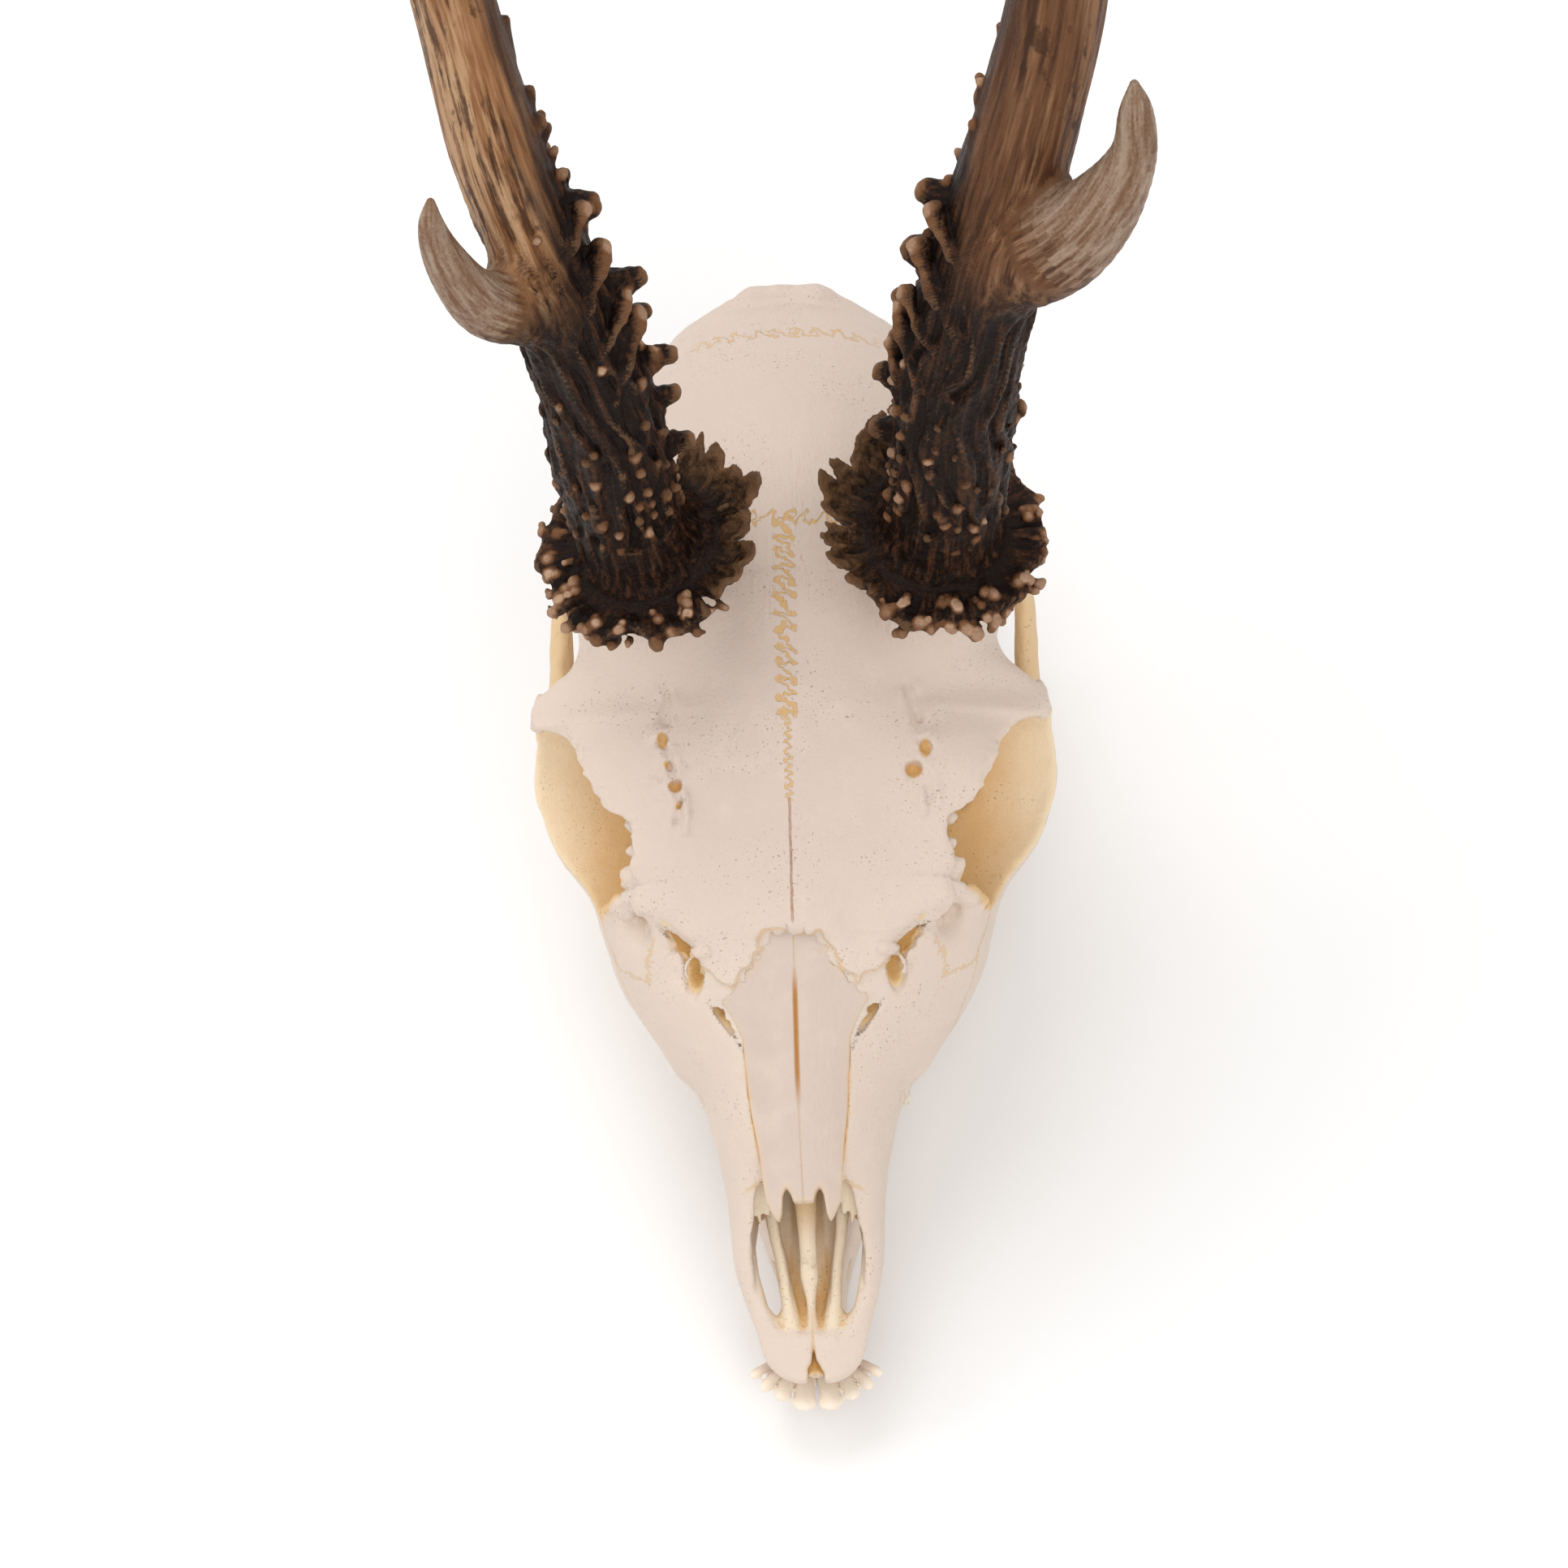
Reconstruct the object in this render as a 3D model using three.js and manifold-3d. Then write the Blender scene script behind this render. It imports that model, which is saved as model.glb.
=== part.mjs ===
// Roe deer skull: the cranium in its separate bones, both lower jaws and both six-point antlers.
// Millimetres, +Z up, nose towards -Y, +X to the right of a viewer who faces the nose.
//
// Every shape is first laid out in the head's own frame: y runs back from the front tip of the upper jaw,
// z runs up from the plane of the upper tooth sockets. settle() then tips the head nose-down until the
// two lower jaws rest on the ground, and moves the whole to the part's origin.
import * as THREE from "three";
import { mergeVertices } from "three/addons/utils/BufferGeometryUtils.js";
import Module from "manifold-3d";

const wasm = await Module();
wasm.setup();

// ---------------------------------------------------------------- driving dimensions
const SKULL_LENGTH = 197; // front tip of the upper jaw to the nuchal crest
const PITCH = 10; // degrees, nose-down, of a skull that lies on its lower jaws
const LIFT = 16.7; // height of the tooth-socket plane above the ground at y = 0, after the pitch
const ORIGIN = { x: 5.32, y: 93.63 }; // centre of the outline box, in the pitched frame
const SUTURE = 0.3; // gap between two bones
const BONE = 2.4; // thickness of thin bone
const SNOUT_BEND = 1.4; // how far the tip of the snout leans to the right of the midline
const SNOUT_ROOT = 50; // where that bend begins

// Outline of the cranium along the midline, as [y, value] knots.
const DORSAL = [[0, 4], [8, 7], [16, 11], [24, 16], [30, 21], [36, 26.6], [42, 30.2], [56, 35.5], [72, 42],
  [86, 47.5], [100, 53], [115, 58], [130, 61.5], [142, 62], [155, 60.2], [168, 55.8], [180, 49.6],
  [190, 43.2],
  [SKULL_LENGTH, 36.5]];
const NASAL_PROFILE = [[18, 21.4], [25, 24], [36, 28], [42, 30.2], [56, 35.5], [72, 42], [80, 45]];

const FACE = {
  halfWidth: [[-1, 6.2], [2, 8.4], [8, 10.2], [14, 12.1], [20, 13.5], [32, 14.4], [44, 16.5], [50, 18.4],
    [55, 21.8], [60, 25.9], [65, 29.3], [71, 32.6], [77, 34.4], [84, 35.4], [92, 34], [100, 31], [108, 29],
    [114, 26]],
  waist: [[-1, 2.5], [20, 6], [44, 7], [50, 9], [60, 15], [71, 18], [84, 19.5], [92, 16], [100, 12],
    [114, 9]],
  top: [...DORSAL.filter(([y]) => y <= 86), [94, 44], [102, 26], [114, 17]],
  bottom: [[-1, 1], [6, 0.3], [20, 0], [114, 0]],
  squareTop: [[-1, 2.2], [40, 2.2], [60, 2.3], [75, 3], [86, 3.8], [114, 2.6]],
  squareBottom: [[-1, 2.4], [30, 2.6], [50, 3.4], [85, 5], [114, 4]],
};
const BRAINCASE = {
  halfWidth: [[72, 10], [82, 16], [92, 17.5], [102, 17.5], [109, 19], [117, 22.5], [125, 26], [135, 29.2],
    [145, 31.2], [155, 31.8], [165, 30.8], [175, 28], [185, 24], [192, 19], [SKULL_LENGTH, 11]],
  waist: [[72, 30], [110, 32], [125, 30], [150, 33], [175, 32], [SKULL_LENGTH, 28]],
  top: DORSAL.filter(([y]) => y >= 72),
  bottom: [[72, 12], [112, 11], [120, 13], [140, 11], [160, 8], [182, 7], [190, 9], [SKULL_LENGTH, 18]],
  squareTop: [[72, 2.6], [110, 2.6], [130, 2.2], [SKULL_LENGTH, 2.1]],
  squareBottom: [[72, 2.4], [SKULL_LENGTH, 2.3]],
};

// ---------------------------------------------------------------- small tools
const rad = (degrees) => (degrees * Math.PI) / 180;
const mix = (a, b, t) => a + (b - a) * t;
const vec = (x, y, z) => new THREE.Vector3(x, y, z);

// A smooth curve through [position, value] knots that never overshoots them.
function profile(knots) {
  const n = knots.length;
  const slope = knots.slice(1).map(([y, v], i) => (v - knots[i][1]) / (y - knots[i][0]));
  const tangent = knots.map((_, i) => {
    if (i === 0) return slope[0];
    if (i === n - 1) return slope[n - 2];
    const [a, b] = [slope[i - 1], slope[i]];
    return a * b <= 0 ? 0 : (2 * a * b) / (a + b);
  });
  return (y) => {
    if (y <= knots[0][0]) return knots[0][1];
    if (y >= knots[n - 1][0]) return knots[n - 1][1];
    let i = 0;
    while (y > knots[i + 1][0]) i += 1;
    const step = knots[i + 1][0] - knots[i][0];
    const t = (y - knots[i][0]) / step;
    const [t2, t3] = [t * t, t * t * t];
    return (2 * t3 - 3 * t2 + 1) * knots[i][1] + (t3 - 2 * t2 + t) * step * tangent[i]
      + (3 * t2 - 2 * t3) * knots[i + 1][1] + (t3 - t2) * step * tangent[i + 1];
  };
}

// A closed body from rings of equally many points, each ring turning the same way.
function loft(rings) {
  const sides = rings[0].length;
  const points = rings.flat();
  const first = points.length;
  for (const ring of [rings[0], rings[rings.length - 1]])
    points.push(ring.reduce((sum, p) => sum.add(p), vec(0, 0, 0)).multiplyScalar(1 / sides));
  const index = [];
  for (let r = 0; r + 1 < rings.length; r += 1)
    for (let s = 0; s < sides; s += 1) {
      const [a, b] = [r * sides + s, r * sides + ((s + 1) % sides)];
      index.push(a, b, a + sides, b, b + sides, a + sides);
    }
  for (let s = 0; s < sides; s += 1) {
    const next = (s + 1) % sides;
    const last = (rings.length - 1) * sides;
    index.push(first, next, s, first + 1, last + s, last + next);
  }
  const geometry = new THREE.BufferGeometry().setFromPoints(points);
  geometry.setIndex(index);
  return geometry;
}

// A geometry as a solid: only its shape counts, and its faces are turned outwards.
function solid(geometry) {
  const bare = new THREE.BufferGeometry().setAttribute("position", geometry.getAttribute("position"));
  if (geometry.index) bare.setIndex(geometry.index);
  const merged = mergeVertices(bare, 1e-4);
  const triVerts = new Uint32Array(merged.index.array);
  const make = () => new wasm.Manifold(new wasm.Mesh({
    numProp: 3, vertProperties: merged.attributes.position.array, triVerts,
  }));
  const made = make();
  if (made.volume() > 0) return made;
  for (let i = 0; i < triVerts.length; i += 3)
    [triVerts[i + 1], triVerts[i + 2]] = [triVerts[i + 2], triVerts[i + 1]];
  return make();
}

const join = (pieces) => pieces.reduce((sum, piece) => sum.add(piece));
const cut = (body, tools) => tools.reduce((left, tool) => left.subtract(tool), body);
const mirrored = (build) => [build(-1), build(1)];

// An egg: a sphere stretched to three radii, turned about x, then z (degrees).
function egg(centre, radii, { turnX = 0, turnZ = 0, around = 16, down = 10 } = {}) {
  const geometry = new THREE.SphereGeometry(1, around, down).scale(...radii);
  geometry.rotateX(rad(turnX)).rotateZ(rad(turnZ)).translate(...centre);
  return solid(geometry);
}

function block(low, high) {
  const size = high.map((v, i) => v - low[i]);
  return solid(new THREE.BoxGeometry(...size).translate(...low.map((v, i) => v + size[i] / 2)));
}

// A bar along a smooth curve. Each stop is [x, y, z, radius] or [x, y, z, radius across, radius along up].
function bar(stops, { sides = 8, steps = 12, up = vec(0, 0, 1), longer = 0 } = {}) {
  const curve = new THREE.CatmullRomCurve3(stops.map(([x, y, z]) => vec(x, y, z)), false, "centripetal");
  const at = (column, fallback) =>
    profile(stops.map((stop, i) => [i / (stops.length - 1), stop[column] ?? stop[fallback]]));
  const [across, along] = [at(3, 3), at(4, 3)];
  const rings = [];
  for (let i = 0; i <= steps; i += 1) {
    const t = i / steps;
    const tangent = curve.getTangent(t);
    const end = i === 0 ? -longer : i === steps ? longer : 0;
    const centre = curve.getPoint(t).addScaledVector(tangent, end);
    const side = tangent.clone().cross(up).normalize();
    const over = side.clone().cross(tangent).normalize();
    rings.push(Array.from({ length: sides }, (_, s) => {
      const a = (2 * Math.PI * s) / sides;
      return centre.clone().addScaledVector(side, across(t) * Math.cos(a))
        .addScaledVector(over, along(t) * Math.sin(a));
    }));
  }
  return solid(loft(rings));
}

// A body of upright superellipse sections along y, as FACE and BRAINCASE describe them, about x = centre(y).
function sectioned(form, stations, sides, centre = () => 0) {
  const f = Object.fromEntries(Object.entries(form).map(([name, knots]) => [name, profile(knots)]));
  return solid(loft(stations.map((y) => Array.from({ length: sides }, (_, s) => {
    const a = (2 * Math.PI * (s + 0.5)) / sides;
    const [c, v] = [Math.cos(a), Math.sin(a)];
    const power = 2 / (v > 0 ? f.squareTop(y) : f.squareBottom(y));
    const height = v > 0 ? f.top(y) - f.waist(y) : f.waist(y) - f.bottom(y);
    return vec(centre(y) + f.halfWidth(y) * Math.sign(c) * Math.abs(c) ** power, y,
      f.waist(y) + height * Math.sign(v) * Math.abs(v) ** power);
  }))));
}

// What lies below the ground, in the head's own frame.
const ground = solid(
  new THREE.BoxGeometry(300, 500, 40).translate(ORIGIN.x, ORIGIN.y, -20 - LIFT).rotateX(-rad(PITCH)),
);

// ---------------------------------------------------------------- regions that part the bones
// A prism over an outline in plan, [x, y] points; flip mirrors it to the other side of the head.
function prism(outline, low, high, flip = 1) {
  const shape = new THREE.Shape(outline.map(([x, y]) => new THREE.Vector2(flip * x, y)));
  const geometry = new THREE.ExtrudeGeometry(shape, { depth: high - low, bevelEnabled: false });
  return solid(geometry.translate(0, 0, low));
}

// A prism right across the head, over an outline in side view, [y, z] points.
function sidePrism(outline, halfWidth = 70) {
  const shape = new THREE.Shape(outline.map(([y, z]) => new THREE.Vector2(y, z)));
  const geometry = new THREE.ExtrudeGeometry(shape, { depth: 2 * halfWidth, bevelEnabled: false });
  geometry.applyMatrix4(new THREE.Matrix4().makeBasis(vec(0, 1, 0), vec(0, 0, 1), vec(1, 0, 0)));
  return solid(geometry.translate(-halfWidth, 0, 0));
}

// The outline moved outwards all round by the gap.
function widened(outline, gap) {
  const points = outline.map(([a, b]) => new THREE.Vector2(a, b));
  const turn = THREE.ShapeUtils.isClockWise(points) ? -1 : 1;
  return points.map((point, i) => {
    const before = point.clone().sub(points.at(i - 1)).normalize();
    const after = points[(i + 1) % points.length].clone().sub(point).normalize();
    const miter = new THREE.Vector2(before.y + after.y, -before.x - after.x).multiplyScalar(turn).normalize();
    const square = new THREE.Vector2(before.y, -before.x).multiplyScalar(turn);
    return point.clone().addScaledVector(miter, gap / Math.max(0.5, miter.dot(square))).toArray();
  });
}

const MIDLINE = SUTURE / 2;
const half = (side) => block(
  [side > 0 ? MIDLINE : -120, -40, -80],
  [side > 0 ? 120 : -MIDLINE, 260, 400],
);

const NASAL_PLAN = [[-1, 72.6], [4.4, 70.7], [7.3, 65.5], [11, 62.5], [13, 60], [11.7, 52], [9.6, 44],
  [7.6, 36],
  [7, 29], [6.6, 22.6], [5.4, 21.6], [4.4, 22.4], [3.7, 26.6], [2.3, 26], [1.9, 24.6], [-1, 24.4]];
const NASAL_SIDE = [[10, 16], [36, 23.5], [56, 31], [80, 41], [80, 90], [10, 90]];
const FRONTAL_PLAN = [[-1, 72.9], [4.6, 71], [7.6, 65.8], [11.3, 62.8], [20, 69.4], [29, 77.5], [60, 77.5],
  [60, 132], [44, 142], [-1, 142]];
const FRONTAL_SIDE = [[55, 33], [80, 35.5], [112, 36], [142, 41], [142, 71.5], [55, 71.5]];
const PREMAXILLA_SIDE = [[-9, -9], [15, -9], [16, 0], [24, 7], [32, 13.6], [41, 21], [42, 60], [-9, 60]];
const CORE_SIDE = [[80, 19], [113.9, 19], [113.9, -30], [220, -30], [220, 110], [80, 110]];
const BOWL_PLAN = [[26, 76], [33, 78], [36.6, 88], [42.2, 95.5], [45, 102], [45.8, 109], [45.6, 117],
  [34, 117],
  [33, 104], [28, 98], [26, 92]];
const FISSURE_PLAN = [[4.1, 10], [6, 7.8], [8, 9.4], [9.2, 16], [10, 24], [9.4, 30], [6, 31], [4.2, 26],
  [3.7, 16]];

// The region of one bone, wider all round by gap where it cuts the bone's bed in its neighbours.
const region = (plan, view) => (side, gap = 0) =>
  prism(widened(plan, gap), -30, 110, side).intersect(sidePrism(widened(view, gap)));
const nasalRegion = region(NASAL_PLAN, NASAL_SIDE);
const frontalRegion = region(FRONTAL_PLAN, FRONTAL_SIDE);
const premaxillaRegion = (gap = 0) => sidePrism(widened(PREMAXILLA_SIDE, gap));

// ---------------------------------------------------------------- cranium
const steps = (from, to, count) => Array.from({ length: count + 1 }, (_, i) => mix(from, to, i / count));
const faceBlank = sectioned(FACE, [-1, 4, 12, 20, 30, 40, 50, 57, 65, 76, 86, 96, 113.5], 14);
const coreBlank = sectioned(BRAINCASE, [72, 90, 109, 118, 130, 143, 157, 170, 181, 190, SKULL_LENGTH], 14);

// Hollow of the nose: open at the front, and at the top as far back as the nasal bones' sides.
const NOSE = {
  halfWidth: [[-4, 9.4], [30, 9.8], [45, 8.8], [60, 7]],
  waist: [[-4, 8], [60, 14]],
  top: NASAL_PROFILE.map(([y, z]) => [y, z - 2.8]),
  bottom: [[-4, 3.2], [20, 3.4], [60, 7]],
  squareTop: [[-4, 2.4], [60, 2.4]],
  squareBottom: [[-4, 3], [60, 3]],
};
const nose = sectioned(NOSE, [-4, 22, 38, 60], 8);
const nostril = prism([[-10, -8], [10, -8], [10.6, 28], [8.4, 40], [-8.4, 40], [-10.6, 28]], 8, 60);
const palate = egg([0, 78, -2.5], [10.5, 62, 6.5], { around: 10, down: 6 });
const choanae = egg([0, 120, 4], [7.5, 14, 10], { around: 8, down: 6 });
const ORBIT = { x: 42, y: 95.5, z: 33.5, radii: [27, 17.5, 14.5], mesh: { around: 11, down: 6 } };
const orbit = (side) => egg([side * ORBIT.x, ORBIT.y, ORBIT.z], ORBIT.radii, ORBIT.mesh);

// The bony roof that juts over the orbit, and its downward spur behind it.
const ROOF = {
  halfWidth: [[72, 22], [77, 31], [82, 29.5], [88, 31.5], [93, 33.5], [98, 37.5], [104, 42], [110, 46.2],
    [114, 45],
    [119, 38.5], [125, 33], [131, 29]],
  waist: [[72, 38.5], [77, 41.2], [82, 44], [88, 46.8], [93, 48.6], [98, 48.8], [104, 48], [112, 46.3],
    [119, 50],
    [131, 54]],
  top: DORSAL.filter(([y]) => y >= 72 && y <= 142),
  bottom: [[72, 34], [82, 41.5], [93, 46], [104, 45.2], [112, 42.5], [119, 46.6], [131, 49]],
  squareTop: [[72, 2.2], [93, 3.4], [112, 1.9], [131, 2]],
  squareBottom: [[72, 3], [131, 3]],
};
const roof = sectioned(ROOF, [72, 77, 82, 88, 95, 103, 110, 114, 119, 125, 131], 12);

const pedicle = (side) => bar([[side * 24.5, 127.5, 48, 13.5], [side * 25, 129, 58, 12],
  [side * 25.4, 130.4, 66, 11],
  [side * 25.5, 131, 74, 11.5]], { sides: 10, steps: 2, up: vec(0, 1, 0) });

// The cheek bone: a tall plate on the face, the lower rim of the orbit, the front of the arch behind it,
// and the spur that rises behind the orbit. Extra makes it thicker all round, to cut its bed in other bones.
function cheekBlank(side, extra = 0) {
  const plate = [[25, 64, 15, 1.5, 2], [29.8, 70, 18, 2.2, 7.5], [33, 78, 20.5, 2, 9.5],
    [36.6, 88, 18.4, 2, 7.2],
    [42.2, 95.5, 18.4, 1.8, 5.8], [44.9, 102, 18.8, 1.7, 5.4], [45.8, 109, 20, 1.7, 5.6],
    [44.2, 118, 21, 2, 4.8],
    [43, 127, 21.4, 2, 4], [43, 139.7, 22.4, 1.8, 2.8]];
  const spur = [[45.6, 107.5, 20, 1.9, 5], [45.8, 112.5, 31, 1.9, 3.6], [45.2, 113.5, 40.6, 1.8, 3]];
  const place = (stops) =>
    stops.map(([x, y, z, across, along]) => [side * x, y, z, across + extra, along + extra]);
  const bowl = egg([side * ORBIT.x, ORBIT.y, ORBIT.z], ORBIT.radii.map((r) => r + BONE + extra), ORBIT.mesh)
    .intersect(prism(widened(BOWL_PLAN, extra), 8 - extra, 35.2 + extra, side));
  return join([
    bowl,
    bar(place(plate), { sides: 6, steps: 9, longer: extra }),
    bar(place(spur), { sides: 5, steps: 2, up: vec(0, 1, 0), longer: extra }),
  ]);
}

// One cheek tooth: a column that narrows towards its biting edge.
function cheekTooth(x, y, root, edge, wide, long) {
  const height = Math.abs(edge - root);
  const up = edge > root;
  const geometry = new THREE.CylinderGeometry(up ? 0.34 : 0.5, up ? 0.5 : 0.34, height, 5);
  return solid(geometry.rotateX(Math.PI / 2).scale(wide, long, 1).translate(x, y, (root + edge) / 2));
}

// A row of three premolars and three longer molars, from [y, x, width] at its front to its back.
function toothRow(side, front, back, root, edge) {
  const shares = [0.13, 0.145, 0.145, 0.19, 0.2, 0.19];
  let done = 0;
  return shares.map((share) => {
    const t = done + share / 2;
    done += share;
    const [y, x, wide] = front.map((value, i) => mix(value, back[i], t));
    return cheekTooth(side * x, y, root, edge, wide, share * (back[0] - front[0]));
  });
}

function nasal(side) {
  const blank = sectioned({ ...FACE, top: NASAL_PROFILE }, [20, 28, 36, 44, 52, 60, 67, 74], 18);
  return blank.intersect(nasalRegion(side)).intersect(half(side)).subtract(nose);
}

function snout(side) {
  return cut(faceBlank.intersect(half(side)), [nose, nostril, prism(FISSURE_PLAN, -20, 12, side)]);
}

const premaxilla = (side) => cut(snout(side).intersect(premaxillaRegion()), [nasalRegion(side, SUTURE)]);

function maxilla(side) {
  const behindCore = block([-20, 79.7, 18.7], [20, 130, 90]);
  const body = cut(snout(side), [premaxillaRegion(SUTURE), nasalRegion(side, SUTURE), frontalRegion(side, SUTURE),
    behindCore, orbit(side), cheekBlank(side, SUTURE), palate, choanae]);
  return join([body, ...toothRow(side, [52, 15, 8], [111, 21.4, 11.5], 1.5, -6)]);
}

function frontal(side) {
  const blank = join([faceBlank, coreBlank, roof, pedicle(side)]);
  const bone = blank.intersect(frontalRegion(side)).intersect(half(side));
  return cut(bone, [orbit(side), cheekBlank(side, SUTURE)]);
}

function braincase() {
  const sides = mirrored((side) => [
    egg([side * 16, 166, 5.5], [6.5, 10, 6.5], { around: 7, down: 4 }), // hearing capsule
    egg([side * 27.5, 160, 17], [4.5, 4, 4], { around: 6, down: 3 }), // ear opening's collar
    egg([side * 9, 191.5, 12], [6, 6.5, 8], { around: 7, down: 5 }), // occipital condyle
    egg([side * 9, 125, 7], [1.5, 9, 10], { around: 6, down: 4 }), // pterygoid plate
    bar([[side * 20, 181, 16, 4], [side * 22, 184.5, 3, 2, 3], [side * 21.5, 186, -9, 0.9, 1.4]],
      { sides: 5, steps: 2, up: vec(0, 1, 0) }), // paroccipital process
    bar([[side * 24, 157, 25, 4, 4], [side * 33, 153.5, 26, 3, 3], [side * 40.5, 148, 25.2, 1.8, 3.2],
      [side * 42.8, 140.2, 23.4, 1.8, 2.8]], { sides: 6, steps: 4 }), // root of the cheek arch
  ]).flat();
  const nuchalCrest = bar([[-27, 180, 20, 1.4], [-23, 187.4, 28, 2], [-8, 195, 36.4, 2.2],
    [8, 195, 36.4, 2.2],
    [23, 187.4, 28, 2], [27, 180, 20, 1.4]], { sides: 5, steps: 7, up: vec(0, 1, 0) });
  const core = coreBlank.intersect(sidePrism(CORE_SIDE));
  const spine = egg([0, SKULL_LENGTH + 1, 17], [7, 12, 7.5], { around: 8, down: 6 }); // foramen magnum
  return cut(join([core, nuchalCrest, ...sides]), [frontalRegion(-1, SUTURE), frontalRegion(1, SUTURE),
    orbit(-1), orbit(1), choanae, spine]);
}

const vomer = () =>
  bar([[0, 13, 5.6, 1.2, 1], [0, 32, 7.2, 1, 1.8], [0, 57, 12.4, 0.9, 3.6]], { sides: 6, steps: 5 });

// ---------------------------------------------------------------- lower jaws
const JAW = {
  centre: [[-4, 2.4], [10, 2.9], [20, 3.7], [30, 6.4], [40, 9.6], [50, 12.4], [70, 14.8], [90, 17.4],
    [110, 21],
    [122, 25], [135, 30], [148, 33.4], [156, 34]],
  halfWidth: [[-4, 1.5], [0, 2.2], [10, 2.6], [20, 2.5], [30, 2.4], [40, 2.6], [50, 3], [80, 4], [108, 4.7],
    [118, 3.4], [128, 2.1], [140, 1.6], [150, 1.8], [156, 1]],
  bottom: [[-4, -9.5], [0, -13], [8, -18.4], [18, -20.8], [30, -22.6], [47, -26], [80, -31.4], [100, -35],
    [115, -38.8], [130, -42], [144, -44.4], [151, -41], [156, -30]],
  top: [[-4, -6.4], [0, -6.8], [8, -8.2], [18, -9.6], [30, -12], [113, -12], [117, -8], [121, 0], [126, 10],
    [132, 16], [140, 18], [151, 18], [156, -5]],
};
JAW.waist = JAW.top.map(([y, z]) => [y, (z + profile(JAW.bottom)(y)) / 2]);
JAW.squareTop = [[-4, 2.2], [156, 2.6]];
JAW.squareBottom = [[-4, 2.2], [40, 2.4], [110, 2.8], [130, 4], [156, 4]];

// [x of the tip, width, y of the tip] of each front tooth, from the middle outwards.
const INCISORS = [[2.4, 4.4, -5.4], [5.8, 2.5, -4.4], [8, 2.1, -2.9], [9.5, 1.7, -0.9]];

function mandible(side) {
  const centre = profile(JAW.centre);
  const blank = sectioned(JAW, [-4, 1, 10, 24, 38, 56, 84, 110, 117, 124, 132, 142, 151, 156], 8,
    (y) => side * centre(y));
  const incisors = INCISORS.map(([x, wide, y], i) => bar([
    [side * mix(2.4, x, 0.35), 2, -8.6, Math.min(1.6, wide / 2), 1.5],
    [side * mix(2.4, x, 0.8), -1.6 + 0.3 * i, -4.4, wide * 0.42, 1.2],
    [side * x, y, -0.4 - 0.7 * i, wide * 0.48, 0.7]], { sides: 5, steps: 2 }));
  const condyle = egg([side * 33.4, 149.4, 18.4], [5, 2.9, 3.4], { around: 6, down: 4 });
  const coronoid = bar([[side * 30.4, 130, 8, 1.3, 4.6], [side * 33, 136, 25, 1.2, 4],
    [side * 34.8, 141.5, 36, 1.1, 2.8], [side * 35.4, 147, 43.5, 0.7, 1.2]],
  { sides: 5, steps: 3, up: vec(0, 1, 0) });
  const teeth = toothRow(side, [48, 12, 5.6], [113, 20.6, 8], -14, -6.5);
  return join([blank, ...incisors, condyle, coronoid, ...teeth]).intersect(half(side)).subtract(ground);
}

// ---------------------------------------------------------------- antlers
// Centre line and radius of each beam, from the pedicle to the tip: [x, y, z, radius].
const BEAM = {
  "-1": [[-23.6, 131.3, 74.6, 12], [-25.4, 133, 85, 12.4], [-27.6, 137.6, 102, 10.6],
    [-29.4, 142.6, 120, 9.2],
    [-32.6, 147.4, 137, 8.8], [-36.6, 154.2, 154, 8], [-41.6, 162.4, 175, 7.6], [-45.8, 174.4, 202, 6.7],
    [-48, 181, 221, 6.7], [-48.6, 183, 241, 4.8], [-47, 185, 262, 3.4], [-44, 190, 284, 0.9]],
  1: [[27.4, 132.2, 75, 12], [28.9, 133.8, 86, 12.4], [30.6, 137.4, 102, 10.8], [32, 141.6, 120, 9.8],
    [35, 146.4, 137, 9.6], [38.6, 152.4, 154, 9.2], [44.8, 161.8, 178, 8.6], [50, 171.8, 201, 8],
    [52.4, 180, 221, 7.4], [52, 182.6, 241, 5.2], [50.8, 185, 262, 3.6], [48, 190, 284, 0.9]],
};
const FRONT_TINE = {
  "-1": [[-37, 147, 147, 7.4], [-42.6, 142.4, 155, 6], [-46.6, 141.4, 162.6, 4.7], [-50.2, 144.2, 171, 3.4],
    [-51.6, 147, 176.6, 2.2], [-51.4, 149.6, 180.4, 0.8]],
  1: [[40, 149, 151, 8.4], [49, 145.6, 165.4, 8.2], [56.6, 147, 176.6, 6.2], [61.4, 150.6, 187, 3.9],
    [62, 154.4, 194.6, 2.9], [61.8, 157, 199.8, 0.9]],
};
const REAR_TINE = {
  "-1": [[-48, 181, 220, 5.6], [-49.4, 191, 226, 5], [-50.4, 203, 233.5, 3.6], [-50, 213, 243, 0.9]],
  1: [[52.4, 180, 220, 6], [53, 191, 226, 5.2], [54, 203, 233.5, 3.7], [53.6, 213, 243, 0.9]],
};
const FRONT_FORK = 140.5; // height of the cut through the beam at each main fork, in the head's frame
const REAR_FORK = 221;
const BURR = { radius: 20.8, lobes: 7, sides: 18 };

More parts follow.
